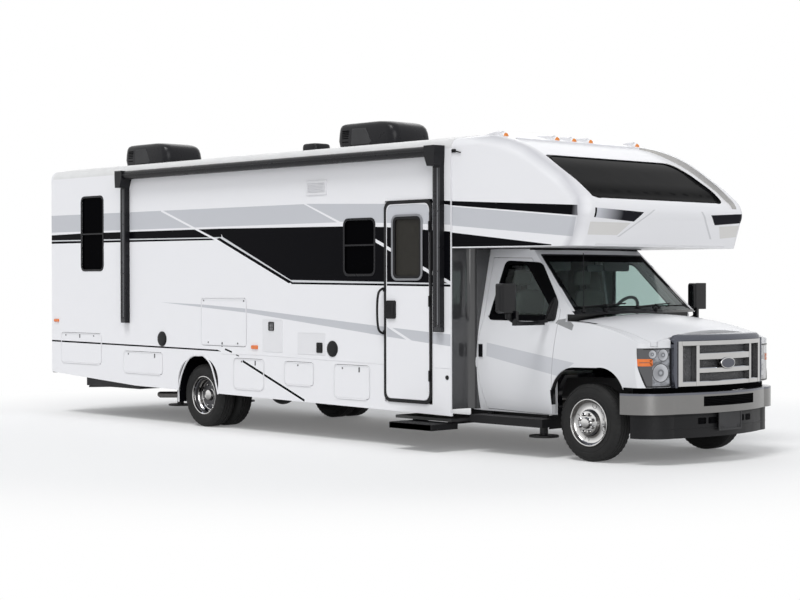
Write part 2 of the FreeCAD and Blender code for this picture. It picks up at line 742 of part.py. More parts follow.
def overcab_slope(inset, pocket):
    """Points of the cap's front in the side view, from the nose up to the roof's crown.

    The pocket's depth is added in full at the nose and fades out towards the roof.
    """
    depths = [inset + pocket * share for share in (1, 1, 1, 1, 1, 1, 1, 0.92, 0.62, 0.12, 0)]
    shape = [
        (178, 2290, 1, 0), (197, 2385, 1, 0), (163, 2475, 0.95, 0.25), (80, 2554, 0.8, 0.6),
        (-15, 2632, 0.6, 0.8), (-205, 2762, 0.55, 0.84), (-396, 2888, 0.5, 0.87), (-592, 2990, 0.4, 0.92),
        (-793, 3065, 0.3, 0.95), (-1076, 3135, 0.15, 1)]
    slope = [(ahead(x) - t * back, z - t * down) for t, (x, z, back, down) in zip(depths, shape)]
    return slope + [(COACH_FRONT_X, ROOF_CROWN_Z - depths[-1])]


def overcab_cap(inset, pocket):
    """The cap's side view drawn across the coach, its sides rounded into the front."""
    half = OVERCAB_HALF_WIDTH - inset
    slope = overcab_slope(inset, pocket)
    base = OVERCAB_BASE_Z + inset
    curve = Part.BSplineCurve()
    curve.interpolate([vec(x, -half, z) for x, z in slope])
    corners = [slope[-1], (COACH_FRONT_X, base), (ahead(97) - inset, base), slope[0]]
    edges = [Part.LineSegment(vec(a[0], -half, a[1]), vec(b[0], -half, b[1])).toShape()
             for a, b in zip(corners, corners[1:])]
    cap = Part.Face(Part.Wire(edges + [curve.toShape()])).extrude(vec(0, 2 * half, 0))
    rounded = [e for e in cap.Edges if on_cap_side(e)]
    return cap.makeFillet(OVERCAB_ROUND - inset, rounded)


def on_cap_side(edge):
    """True for the front and top edges of the cap's sides."""
    ends = [v.Point for v in edge.Vertexes]
    along_side = abs(ends[0].y - ends[-1].y) < 1
    ahead_of_coach = max(p.x for p in ends) > COACH_FRONT_X + 1
    rising = abs(ends[0].z - ends[-1].z) > 50
    return along_side and ahead_of_coach and rising


def overcab_volume(inset, pocket=0):
    half = OVERCAB_HALF_WIDTH - inset
    shoulder = half - ROOF_EDGE_IN
    k = ROOF_EDGE_IN * 0.29
    top = ROOF_EDGE_Z - inset
    front = front_slab(
        COACH_FRONT_X - 1, ahead(400), (-half, OVERCAB_BASE_Z - 50), (half, OVERCAB_BASE_Z - 50),
        (half, WALL_TOP - inset), ((half - k, top - k), (shoulder, top)),
        ((0, ROOF_CROWN_Z - inset), (-shoulder, top)), ((-half + k, top - k), (-half, WALL_TOP - inset)))
    return overcab_cap(inset, pocket).common(front)


def pocket_prism(grow):
    """Plan of the recess round the front window, open at the nose."""
    wide = POCKET_HALF + grow
    rear = ahead(-950) - grow
    nose = ahead(300)
    return plan_slab(
        POCKET_BOTTOM - grow, ROOF_CROWN_Z + 50, (rear, -wide + 240),
        ((rear + 25, -wide + 130), (rear + 130, -wide + 60)), ((rear + 500, -wide), (rear + 950, -wide + 8)),
        (nose, -wide + 25), (nose, wide - 25), (rear + 950, wide - 8),
        ((rear + 500, wide), (rear + 130, wide - 60)), ((rear + 25, wide - 130), (rear, wide - 240)))


def pane_prism():
    """Plan of the front window's glass."""
    wide = POCKET_HALF - PANE_INSET
    rear = ahead(-575)
    front = ahead(90)
    return plan_slab(
        POCKET_BOTTOM - 50, ROOF_CROWN_Z + 50, (rear, -wide + 200),
        ((rear + 22, -wide + 100), (rear + 125, -wide + 45)), ((rear + 370, -wide), (front - 70, -wide + 15)),
        ((front - 15, -wide + 65), (front, -wide + 170)), (front, wide - 170),
        ((front - 15, wide - 65), (front - 70, wide - 15)), ((rear + 370, wide), (rear + 125, wide - 45)),
        ((rear + 22, wide - 100), (rear, wide - 200)))


def overcab():
    pocket = pocket_prism(0).cut(overcab_volume(0, POCKET_DEPTH))
    behind_pocket = pocket_prism(OVERCAB_WALL).cut(overcab_volume(OVERCAB_WALL, POCKET_DEPTH))
    hull = overcab_volume(0).cut(pocket)
    room = overcab_volume(OVERCAB_WALL).cut(behind_pocket)
    save("overcab", keep_large(hull.cut(room).cut(pane_prism())))


def overcab_pane():
    sunk = 6
    skin = overcab_volume(sunk, POCKET_DEPTH).cut(overcab_volume(sunk + GLASS, POCKET_DEPTH))
    return skin.common(pane_prism())


# Cab

def hood_top(inset):
    """Space under the crowned hood line, from the cowl to the grille."""
    wires = []
    for x, middle, edge in ((-320, 1380, 1345), (60, 1366, 1318), (430, 1305, 1228), (860, 1180, 1045)):
        points = [vec(ahead(x), -1150, 300), vec(ahead(x), -1150, edge - inset - 60),
                  vec(ahead(x), 0, middle - inset), vec(ahead(x), 1150, edge - inset - 60),
                  vec(ahead(x), 1150, 300)]
        edges = [Part.LineSegment(points[0], points[1]).toShape(),
                 Part.Arc(points[1], points[2], points[3]).toShape(),
                 Part.LineSegment(points[3], points[4]).toShape(),
                 Part.LineSegment(points[4], points[0]).toShape()]
        wires.append(Part.Wire(edges))
    return Part.makeLoft(wires, True, False)


def body_side(inset, top):
    """Front view of the cab's lower body with its gently bowed sides."""
    low = CAB_HALF_WIDTH - 60 - inset
    wide = CAB_HALF_WIDTH - inset
    belt = CAB_HALF_WIDTH - 62 - inset
    return front_slab(
        COACH_FRONT_X - 1, ahead(1000), (-low, CAB_SILL_Z), (low, CAB_SILL_Z),
        ((wide, 850), (belt, BELT_Z)), (belt - 20, top), (-belt + 20, top), (-belt, BELT_Z),
        ((-wide, 850), (-low, CAB_SILL_Z)))


def nose_plan(inset):
    t = inset
    wide = CAB_HALF_WIDTH + 5
    front = ahead(NOSE_AHEAD) - t
    right = [(ahead(545), -wide + t), (ahead(620) - 0.5 * t, -wide + 26 + 0.85 * t),
             (ahead(666) - 0.85 * t, -wide + 92 + 0.5 * t), (ahead(706) - t, -wide + 200 + 0.3 * t),
             (ahead(740) - t, -wide + 335)]
    left = [(x, -y) for x, y in right]
    return plan_slab(
        300, 1500, (COACH_FRONT_X - 1, -wide + t), right[0], (right[1], right[2]), (right[3], right[4]),
        ((front, 0), left[4]), (left[3], left[2]), (left[1], left[0]), (COACH_FRONT_X - 1, wide - t))


def nose_volume(inset):
    return body_side(inset, 1500).common(nose_plan(inset)).common(hood_top(inset))


def cab_lower(inset):
    block = body_side(inset, BELT_Z)
    keep = box(COACH_FRONT_X, ahead(-FIREWALL_BEHIND), -1200, 1200, CAB_SILL_Z, BELT_Z)
    return block.common(keep)


def greenhouse(inset):
    """The cab above the belt, with a bowed, raked front and sides that lean in."""
    wires = []
    for z, corner_x, middle_x, half in ((BELT_Z, -215, -110, CAB_HALF_WIDTH - 62),
                                        (CAB_ROOF_Z, -855, -750, CAB_HALF_WIDTH - 205)):
        rear = COACH_FRONT_X
        y = half - inset
        corner = ahead(corner_x) - inset
        middle = ahead(middle_x) - inset
        points = [vec(rear, -y, z), vec(corner, -y, z), vec(middle, 0, z), vec(corner, y, z), vec(rear, y, z)]
        edges = [Part.LineSegment(points[0], points[1]).toShape(),
                 Part.Arc(points[1], points[2], points[3]).toShape(),
                 Part.LineSegment(points[3], points[4]).toShape(),
                 Part.LineSegment(points[4], points[0]).toShape()]
        wires.append(Part.Wire(edges))
    return Part.makeLoft(wires, True, True)


def door_profile(grow):
    """The cab door's outline in the side view."""
    g = grow
    return side_slab(
        -1300, -640, (ahead(-1330) - g, CAB_SILL_Z + 25 - g), (ahead(-479) + g, CAB_SILL_Z + 5 - g),
        (ahead(-385) + g, 1424), (ahead(-860) + g, 1925 + g), (ahead(-1365) - g, 1935 + g),
        (ahead(-1380) - g, 1329), ((ahead(-1425) - g, 1050), (ahead(-1395) - g, 680)))


def door_window(y0, y1):
    return side_slab(
        y0, y1, (ahead(-1330), 1340), (ahead(-505), 1328), (ahead(-505), 1480),
        (ahead(-895), 1880), (ahead(-1325), 1895))


def cab_skin():
    outer = cab_lower(0).fuse(greenhouse(0))
    firewall = ahead(-FIREWALL_BEHIND) - FIREWALL_THICKNESS
    inner_low = body_side(CAB_SKIN, BELT_Z + 1)
    inner_low = inner_low.common(box(COACH_FRONT_X - 2, firewall, -1200, 1200,
                                     CAB_SILL_Z - 1, BELT_Z + 1))
    inner_high = greenhouse(CAB_SKIN)
    inner_high = inner_high.common(box(COACH_FRONT_X - 2, ahead(500), -1200, 1200,
                                       BELT_Z - 1, CAB_ROOF_Z - 40))
    return outer, inner_low.fuse(inner_high)


def cab_floor():
    edge = CAB_HALF_WIDTH - 60 - CAB_SKIN - DOOR_GAP
    firewall = ahead(-FIREWALL_BEHIND)
    pan = box(COACH_FRONT_X, firewall, -edge, edge, CAB_FLOOR_TOP - CAB_FLOOR_THICKNESS, CAB_FLOOR_TOP)
    sill = box(COACH_FRONT_X, firewall, -edge, -edge + 60, CAB_SILL_Z, CAB_FLOOR_TOP)
    seat = CAB_SKIN + FIT
    seal = body_side(seat, BELT_Z).cut(body_side(seat + SEAL_DEPTH, BELT_Z))
    strip = box(ahead(-1300), ahead(-500), -CAB_HALF_WIDTH, -edge + 5, CAB_SILL_Z + 30, CAB_SILL_Z + 90)
    return pan.fuse(both(sill)).fuse(both(seal.common(strip)))


def wheelhouse():
    """Room for the steered right front wheel, open to the side and below."""
    return side_slab(
        -1200, -WHEELHOUSE_Y, (ahead(-470), 300), (ahead(-455), 500),
        ((ahead(-380), 790), (ahead(-150), 885)), (ahead(110), 890),
        ((ahead(330), 840), (ahead(430), 700)), (ahead(440), 300))


def windshield_prism(grow):
    return front_slab(
        ahead(-1100), ahead(100), (-900 - grow, BELT_Z + 25 - grow), (900 + grow, BELT_Z + 25 - grow),
        (770 + grow, 1955 + grow), (-770 - grow, 1955 + grow))


def cab_shell():
    outer, inner = cab_skin()
    doorway = door_profile(DOOR_GAP)
    shell = outer.cut(inner).cut([doorway, mirrored(doorway), windshield_prism(0)])
    firewall = ahead(-FIREWALL_BEHIND)
    tunnel = box(firewall - FIREWALL_THICKNESS - 1, firewall + 1, -820, 820,
                 CAB_SILL_Z - 1, CAB_FLOOR_TOP - CAB_FLOOR_THICKNESS)
    shell = shell.cut(tunnel).fuse(cab_floor()).cut(both(wheelhouse()))
    save("cab_shell", keep_large(shell))
    pane = greenhouse(8).cut(greenhouse(8 + GLASS)).common(windshield_prism(0))
    front_only = box(ahead(-900), ahead(0), -1200, 1200, BELT_Z, CAB_ROOF_Z)
    save("windshield", pane.common(front_only))
    side_only = box(COACH_FRONT_X, ahead(0), -1200, -500, 300, CAB_ROOF_Z)
    door = shell_of_door(outer, inner).common(side_only)
    window = door_window(-1300, 0)
    handle = box(ahead(-1398), ahead(-1346), -CAB_HALF_WIDTH - 12, -CAB_HALF_WIDTH + 30, 948, 1076)
    door = door.cut(window).fuse(handle)
    glass = greenhouse(24).cut(greenhouse(30)).common(window).common(side_only)
    door = door.fuse(mirror())
    save("cab_door_right", door)
    save("cab_door_left", mirrored(door))
    save("cab_door_glass_right", glass)
    save("cab_door_glass_left", mirrored(glass))


def shell_of_door(outer, inner):
    below = box(COACH_FRONT_X, ahead(0), -1200, -(CAB_HALF_WIDTH - 62 - CAB_SKIN), CAB_SILL_Z, BELT_Z)
    skin = outer.cut(inner)
    low_skin = body_side(0, BELT_Z).cut(body_side(CAB_SKIN, BELT_Z + 1)).common(below)
    return skin.fuse(low_skin).common(door_profile(0))


def mirror():
    arm = box(ahead(-570), ahead(-520), -1420, -930, 1280, 1315)
    riser = box(ahead(-570), ahead(-520), -1420, -1385, 1280, 1420)
    rear, front, outer, inner, round_off = ahead(-628), ahead(-540), -1597, -1375, 35
    k = round_off * 0.29
    plan = plan_slab(
        1402, 1679, (rear, inner), (rear, outer + 12), ((rear + 6, outer + 4), (rear + 12, outer)),
        (front - round_off, outer), ((front - k, outer + k), (front, outer + round_off)),
        (front, inner - round_off), ((front - k, inner - k), (front - round_off, inner)))
    face = front_slab(
        rear, front, (outer + round_off, 1402), (inner - round_off, 1402),
        ((inner - k, 1402 + k), (inner, 1402 + round_off)), (inner, 1679 - round_off),
        ((inner - k, 1679 - k), (inner - round_off, 1679)), (outer + round_off, 1679),
        ((outer + k, 1679 - k), (outer, 1679 - round_off)), (outer, 1402 + round_off),
        ((outer + k, 1402 + k), (outer + round_off, 1402)))
    return plan.common(face).fuse([arm, riser])


def hood_zone(gap):
    """Room of the hood; its rear edge bows forward ahead of the windshield's foot."""
    edge = HOOD_HALF - gap
    side = side_slab(
        -edge, edge, (ahead(-215), 1290 + gap), (ahead(700) - gap, 1095 + gap),
        (ahead(700) - gap, 1600), (ahead(-215), 1600))
    plan = plan_slab(
        1000, 1700, (ahead(COWL_CORNER) + gap, -edge), (ahead(900), -edge), (ahead(900), edge),
        (ahead(COWL_CORNER) + gap, edge), ((ahead(COWL_MIDDLE) + gap, 0), (ahead(COWL_CORNER) + gap, -edge)))
    return side.common(plan)


def front_end():
    outer = nose_volume(0)
    skin = outer.cut(nose_volume(NOSE_SKIN))
    zone = hood_zone(0)
    save("hood", keep_large(skin.common(hood_zone(DOOR_GAP)).cut(greenhouse(-2 * DOOR_GAP))))
    lamp_zone = headlamp_zone(FIT)
    grille_zone = box(ahead(300), ahead(1000), -LAMP_INNER_Y, LAMP_INNER_Y, 300, 1225)
    lower_zone = box(ahead(430), ahead(1000), -1200, 1200, 300, 722)
    behind_cowl = box(ahead(-2000), ahead(-FIREWALL_BEHIND), -1200, 1200, 300, 1600)
    cab_front = greenhouse(-DOOR_GAP)
    doorway = door_profile(DOOR_GAP)
    fenders = skin.cut([zone, lamp_zone, mirrored(lamp_zone), grille_zone, lower_zone, behind_cowl,
                        cab_front, doorway, mirrored(doorway)])
    fenders = keep_large(fenders.cut(both(wheelhouse())))
    save("fenders", fenders.fuse(both(gutter())))
    lamp = outer.cut(nose_volume(110)).common(headlamp_zone(0))
    lamp = keep_large(lamp.cut(wheelhouse()))
    save("lamps", *both(lamp), *marker_lamps(), *tail_lamps())
    plan = nose_plan(-12)
    frame = plan.common(box(ahead(706), ahead(1000), -670, 670, 712, 1213))
    side = LAMP_INNER_Y - FIT
    frame = frame.fuse(box(ahead(700), ahead(735), -side, side, 720, 1085))
    slots = [box(ahead(500), ahead(1000), -392, 392, z0, z1) for z0, z1 in
             ((771, 842), (894, 965), (1032, 1098))]
    slots += [box(ahead(500), ahead(1000), s * 432, s * 592, 765, 1130) for s in (-1, 1)]
    save("grille", frame.cut(slots))


def headlamp_zone(grow):
    """Room of the right headlamp, its outer edge upright above and slanting in below."""
    return side_slab(
        -1200, -LAMP_INNER_Y, (ahead(655) - grow, 724 - grow), (ahead(1000), 724 - grow),
        (ahead(1000), 1086 + grow), (ahead(590) - grow, 1086 + grow), (ahead(600) - grow, 915))


def gutter():
    """The channel along the right fender's top edge, on which the hood closes."""
    deep = nose_volume(NOSE_SKIN + GUTTER)
    under_hood = nose_volume(NOSE_SKIN + FIT).cut(deep)
    under_hood = under_hood.common(box(ahead(-190), ahead(660), -HOOD_HALF, -HOOD_HALF + 45, 1092, 1500))
    at_fender = nose_volume(NOSE_SKIN - 6).cut(deep)
    at_fender = at_fender.common(box(ahead(-190), ahead(660), -HOOD_HALF - 20, -HOOD_HALF, 1092, 1500))
    return under_hood.fuse(at_fender)


def front_bumper():
    front = BUMPER_AHEAD
    depth = 90
    bar = plan_slab(
        476, 670, (ahead(440), -1060), ((ahead(690), -960), (ahead(800), -700)),
        ((ahead(front), 0), (ahead(800), 700)), ((ahead(690), 960), (ahead(440), 1060)),
        (ahead(440), 1000), ((ahead(640), 905), (ahead(800 - depth), 680)),
        ((ahead(front - depth), 0), (ahead(800 - depth), -680)), ((ahead(640), -905), (ahead(440), -1000)))
    slot = box(ahead(700), ahead(1000), -390, 390, 540, 632)
    horns = [box(ahead(RAIL_FRONT_AHEAD), ahead(front - depth) + 8, s * 370, s * 420, 560, 660)
             for s in (-1, 1)]
    save("front_bumper", bar.cut(slot).fuse(horns))
    valance = plan_slab(
        VALANCE_BOTTOM, 476 - FIT, (ahead(480), -960), ((ahead(680), -880), (ahead(770), -680)),
        ((ahead(880), 0), (ahead(770), 680)), ((ahead(680), 880), (ahead(480), 960)),
        (ahead(480), 930), ((ahead(660), 850), (ahead(740), 660)),
        ((ahead(850), 0), (ahead(740), -660)), ((ahead(660), -850), (ahead(480), -930)))
    save("valance", valance)


def cab_interior():
    front = ahead(-FIREWALL_BEHIND) - FIREWALL_THICKNESS
    panel = side_slab(
        -840, 840, (front, 1000), (front, 1340), (ahead(-400), 1355), (ahead(-600), 1320),
        (ahead(-640), 1240), (ahead(-600), 1000))
    centre = vec(ahead(-735), WHEEL_Y, 1370)
    lean = vec(0.87, 0, -0.49)
    column = rod(centre, centre + lean * 300, 35)
    wheel = Part.makeTorus(STEERING_RADIUS, 16, centre, lean)
    hub = Part.makeCylinder(60, 30, centre, lean)
    reach = vec(0, STEERING_RADIUS - 4, 0)
    spoke = rod(centre - reach, centre + reach, 14)
    stand = box(ahead(-500), ahead(-400), -60, 60, CAB_FLOOR_TOP, 1010)
    save("dashboard", panel.fuse([column, wheel, hub, stand, spoke]))
    seats = []
    for y in (-WHEEL_Y, WHEEL_Y):
        base = box(ahead(-1250), ahead(-820), y - 200, y + 200, CAB_FLOOR_TOP, 1000)
        cushion = box(ahead(-1290), ahead(-800), y - 250, y + 250, 1000, 1130)
        back = side_slab(y - 250, y + 250, (ahead(-1290), 1130), (ahead(-1150), 1130),
                         (ahead(-1300), 1670), (ahead(-1400), 1670))
        head = box(ahead(-1410), ahead(-1310), y - 130, y + 130, 1670, 1840)
        seats.append(base.fuse([cushion, back, head]))
    save("cab_seats", *seats)


def fairings():
    rear = COACH_FRONT_X
    wedge = plan_slab(
        430, OVERCAB_BASE_Z, (rear, -600), (rear, -HALF_WIDTH + 15), (rear + 8, -HALF_WIDTH + 15),
        (rear + 14, -CAB_HALF_WIDTH - 75), ((rear + 38, -CAB_HALF_WIDTH - 22), (rear + 98, -CAB_HALF_WIDTH)),
        (rear + 98, -600))
    outer, inner = cab_skin()
    doorway = door_profile(DOOR_GAP + 3)
    panel = wedge.cut([outer, doorway, box(rear, rear + 200, -800, -500, 300, 2100)])
    save("fairings", *both(max(panel.Solids, key=lambda s: s.Volume)))


def running_boards():
    board = box(ahead(-1410), ahead(-452), -1130, -930, 300, 380)
    feet = [box(x, x + 60, -960, -930, 380, CAB_SILL_Z) for x in (ahead(-1330), ahead(-600))]
    flap = box(ahead(-480), ahead(-472), -1000, -740, 280, CAB_SILL_Z)
    save("running_boards", *both(board.fuse(feet + [flap])))


# Lamps, roof, awning and rear

def marker_lamps():
    lamps = []
    for y in (-1016, -260, 0, 260, 1016):
        lamps.append(Part.makeSphere(45, vec(ahead(-1050), y, 3120)))
    body = overcab_volume(0)
    return [lamp.cut(body) for lamp in lamps]


def tail_lamps():
    x = COACH_REAR_X
    lamps = [box(x - 25, x, y0, y0 + 110, 980, 1330) for y0 in (-1190, 1080)]
    lamps += [box(x - 18, x, y - 60, y + 60, 3075, 3100) for y in (-1000, -250, 0, 250, 1000)]
    return lamps


def roof_equipment():
    crown = roof_section(COACH_REAR_X, COACH_FRONT_X, 0)
    units = []
    for distance in (AIR_FRONT_BEHIND, AIR_REAR_BEHIND):
        x = behind(distance)
        unit = side_slab(
            -AIR_WIDTH / 2, AIR_WIDTH / 2, (x - AIR_LENGTH / 2, 3150), (x + AIR_LENGTH / 2, 3150),
            (x + AIR_LENGTH / 2 - 20, 3330), ((x + AIR_LENGTH / 2 - 80, 3470), (x + AIR_LENGTH / 2 - 210, AIR_TOP)),
            (x - AIR_LENGTH / 2 + 160, AIR_TOP), (x - AIR_LENGTH / 2 + 30, AIR_TOP - 60))
        units.append(unit.cut(crown))
    x = behind(VENT_BEHIND)
    lid = box(x - VENT_SIZE / 2, x + VENT_SIZE / 2, -VENT_SIZE / 2, VENT_SIZE / 2, 3150, VENT_TOP)
    save("roof_units", *units, lid.cut(crown))


def awning():
    y = -HALF_WIDTH - AWNING_RADIUS - 30
    roller = rod(vec(behind(AWNING_REAR), y, AWNING_Z), vec(behind(AWNING_FRONT), y, AWNING_Z), AWNING_RADIUS)
    rail = box(behind(AWNING_REAR), behind(AWNING_FRONT), -HALF_WIDTH - 40, -HALF_WIDTH, AWNING_Z - 9,
               AWNING_Z + 9)
    arms = [rail]
    for near, way in ((AWNING_FRONT, 1), (AWNING_REAR, -1)):
        x0 = behind(near)
        x1 = x0 + way * AWNING_ARM_WIDTH
        arm = box(x0, x1, -HALF_WIDTH - AWNING_ARM_DEPTH, -HALF_WIDTH, AWNING_ARM_BOTTOM, AWNING_Z - 100)
        inner = x0 - way * 45
        outer = x1 + way * 8
        head = side_slab(
            -HALF_WIDTH - 150, -HALF_WIDTH, (x0, AWNING_Z - 150), (x1, AWNING_Z - 150), (outer, AWNING_Z - 40),
            (outer, AWNING_Z + 55), (inner, AWNING_Z + 55), (inner, AWNING_Z - 40))
        arms += [arm, head]
    save("awning", roller.fuse(arms))


def rear_end():
    x = COACH_REAR_X
    bar = box(x - 100, x - 10, -1200, 1200, 515, 620)
    links = [box(x - 10, x + RAIL_REAR_INSET, s * 370, s * 420, 560, 615) for s in (-1, 1)]
    z = HITCH_Z
    tube = box(x - 85, x + 260, -HITCH_OUTER, HITCH_OUTER, z - HITCH_OUTER, z + HITCH_OUTER)
    bore = box(x - 100, x + 240, -HITCH_BORE, HITCH_BORE, z - HITCH_BORE, z + HITCH_BORE)
    pin = Part.makeCylinder(HITCH_PIN, 200, vec(x - 20, -100, z), vec(0, 1, 0))
    hanger = box(x + 120, x + 180, -425, 425, z + HITCH_OUTER, RAIL_BOTTOM)
    save("rear_bumper", bar.fuse(links), tube.cut(bore).cut(pin).fuse(hanger))


def build():
    os.makedirs("parts", exist_ok=True)
    for side in (-1, 1):
        front_wheel(side)
        rear_wheels(side)
        knuckle(side)
    front_axle()
    rear_axle()
    frame_rails()
    cross_members()
    engine()
    exhaust()
    tanks()
    levelling_jacks()
    skirts()
    wall_right()
    wall_left()
    roof()
    rear_wall()
    floor()
    storage_bins()
    coach_windows()
    entry_frame()
    entry_door()
    entry_step()
    baggage_doors()
    slide_room()
    overcab()
    cab_shell()
    front_end()
    front_bumper()
    cab_interior()
    fairings()
    running_boards()
    roof_equipment()
    awning()
    rear_end()


build()
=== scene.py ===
"""Looks of the motorhome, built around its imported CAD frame."""

import math
from functools import reduce

import bmesh
import bpy
from mathutils import Matrix, Vector
from mathutils.bvhtree import BVHTree


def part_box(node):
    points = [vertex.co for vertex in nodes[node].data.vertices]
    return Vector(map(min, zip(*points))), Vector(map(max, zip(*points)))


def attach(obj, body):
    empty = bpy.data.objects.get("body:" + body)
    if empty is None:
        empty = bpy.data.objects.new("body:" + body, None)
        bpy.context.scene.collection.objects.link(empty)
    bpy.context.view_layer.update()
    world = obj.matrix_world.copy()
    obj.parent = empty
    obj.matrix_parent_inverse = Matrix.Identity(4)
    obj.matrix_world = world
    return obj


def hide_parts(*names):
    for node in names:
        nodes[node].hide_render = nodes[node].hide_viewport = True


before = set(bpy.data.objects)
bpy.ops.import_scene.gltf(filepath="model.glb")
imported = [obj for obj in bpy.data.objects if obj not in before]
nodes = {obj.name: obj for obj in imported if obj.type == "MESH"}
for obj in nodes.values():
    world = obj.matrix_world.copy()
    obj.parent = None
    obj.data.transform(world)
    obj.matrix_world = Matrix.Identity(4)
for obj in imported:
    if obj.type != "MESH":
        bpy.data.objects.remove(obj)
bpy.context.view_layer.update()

AXLE = 4.035
SIDE = 1.275
RIGHT_WALL = -SIDE


def ahead(distance):
    """X of a place that far ahead of the front axle."""
    return AXLE + distance


def at(x0, x1, z0, z1):
    """A rectangle given ahead of the front axle."""
    return ahead(x0), ahead(x1), z0, z1


def grown(rect, by):
    u0, u1, v0, v1 = rect
    return u0 - by, u1 + by, v0 - by, v1 + by


def shifted(corners):
    """Corners given ahead of the front axle, in the frame's own x."""
    return [(ahead(x), z) for x, z in corners]


# Camera, light and floor

CAMERA_PLACE = (14.5755, -13.3803, 1.7077)
CAMERA_YAW = 136.613
CAMERA_PITCH = 0.6445
CAMERA_ROLL = -0.074
CAMERA_LENS = 77.525
WORLD_STRENGTH = 0.43
FLOOR_REACH = 90
FLOOR_LIFT = 0.15
FLOOR_FADE = (5.2, 8.5)
SUNS = {"key_light": ((-0.12, 0.46, -0.88), 1.45, 22), "fill_light": ((-0.80, 0.52, -0.30), 0.90, 35),
        "far_light": ((0.5, -0.7, -0.5), 0.35, 40)}


def placed(name, data):
    """A new object in the scene."""
    thing = bpy.data.objects.new(name, data)
    bpy.context.scene.collection.objects.link(thing)
    return thing


def make_camera():
    data = bpy.data.cameras.new("camera")
    data.lens = CAMERA_LENS
    data.clip_end = 500
    camera = placed("camera", data)
    yaw, pitch = math.radians(CAMERA_YAW), math.radians(CAMERA_PITCH)
    forward = Vector((math.cos(yaw) * math.cos(pitch), math.sin(yaw) * math.cos(pitch), -math.sin(pitch)))
    turn = forward.to_track_quat("-Z", "Y").to_matrix() @ Matrix.Rotation(math.radians(CAMERA_ROLL), 3, "Z")
    camera.matrix_world = Matrix.Translation(CAMERA_PLACE) @ turn.to_4x4()
    bpy.context.scene.camera = camera


def make_suns():
    for name, (direction, strength, spread) in SUNS.items():
        data = bpy.data.lights.new(name, "SUN")
        data.energy = strength
        data.angle = math.radians(spread)
        placed(name, data).rotation_euler = Vector(direction).to_track_quat("-Z", "Y").to_euler()


def make_world():
    """White where it is seen or mirrored, and a plain level of light otherwise."""
    world = bpy.data.worlds.new("studio")
    world.use_nodes = True
    tree = Tree(world.node_tree)
    shown = world.node_tree.nodes["Background"]
    tree.feed(shown.inputs["Color"], (1, 1, 1))
    tree.feed(shown.inputs["Strength"], 1.0)
    lit = tree.add("ShaderNodeBackground", {"Color": (0.95, 0.97, 1), "Strength": WORLD_STRENGTH})
    end = world.node_tree.nodes["World Output"].inputs[0]
    tree.blend(tree.seen_directly(), lit.outputs[0], shown.outputs[0], end)
    bpy.context.scene.world = world


def make_floor():
    mesh = bpy.data.meshes.new("floor")
    far = FLOOR_REACH
    mesh.from_pydata([(-far, -far, 0), (far, -far, 0), (far, far, 0), (-far, far, 0)], [], [(0, 1, 2, 3)])
    placed("floor", mesh)
    mesh.materials.append(floor_material())


def floor_material():
    """Pale floor that keeps the shadow near the object and is plain white further off."""
    paint = Paint("studio_floor", (0.93, 0.93, 0.93), 0.9, Specular_IOR_Level=0.1)
    distance = paint.add("ShaderNodeVectorMath", {0: paint.place}, operation="LENGTH").outputs["Value"]
    fade = paint.span(distance, FLOOR_LIFT, 1.0, *FLOOR_FADE, interpolation_type="SMOOTHSTEP")
    share = paint.math("MULTIPLY", fade, paint.seen_directly())
    white = paint.add("ShaderNodeEmission")
    paint.blend(share, paint.shader.outputs[0], white.outputs[0], paint.end)
    return paint.done()


def make_studio():
    bpy.context.scene.view_settings.view_transform = "Standard"
    make_camera()
    make_world()
    make_floor()
    make_suns()


# Node materials

TURNED = 0.3

class Tree:
    """A node tree, built from short calls."""

    def __init__(self, tree):
        self.tree = tree

    def add(self, kind, inputs=(), **settings):
        node = self.tree.nodes.new(kind)
        for key, setting in settings.items():
            setattr(node, key, setting)
        for key, thing in dict(inputs).items():
            self.feed(node.inputs[key], thing)
        return node

    def feed(self, socket, thing):
        """Links a socket, or sets it to a number, a vector or a colour."""
        if isinstance(thing, bpy.types.NodeSocket):
            self.tree.links.new(thing, socket)
        else:
            socket.default_value = (*thing, 1.0) if socket.type == "RGBA" else thing

    def math(self, operation, first, second=0.0):
        return self.add("ShaderNodeMath", {0: first, 1: second}, operation=operation).outputs[0]

    def above(self, thing, limit):
        return self.math("GREATER_THAN", thing, limit)

    def below(self, thing, limit):
        return self.math("LESS_THAN", thing, limit)

    def fold(self, operation, things):
        """One value made of several."""
        return reduce(lambda first, second: self.math(operation, first, second), things)

    def all(self, *masks):
        return self.fold("MULTIPLY", masks)

    def any(self, *masks):
        return self.fold("MAXIMUM", masks)

    def span(self, thing, low, high, start=0.0, end=1.0, **settings):
        """Maps start..end onto low..high, held at both ends."""
        limits = {"Value": thing, "From Min": start, "From Max": end, "To Min": low, "To Max": high}
        return self.add("ShaderNodeMapRange", limits, **settings).outputs[0]

    def blend(self, factor, first, second, end):
        """Feeds the mix of two shaders to the tree's end."""
        self.feed(end, self.add("ShaderNodeMixShader", {0: factor, 1: first, 2: second}).outputs[0])

    def seen_directly(self):
        """1 for rays of the camera, of mirrors and of glass."""
        rays = self.add("ShaderNodeLightPath").outputs
        return self.any(rays["Is Camera Ray"], rays["Is Glossy Ray"], rays["Is Transmission Ray"])


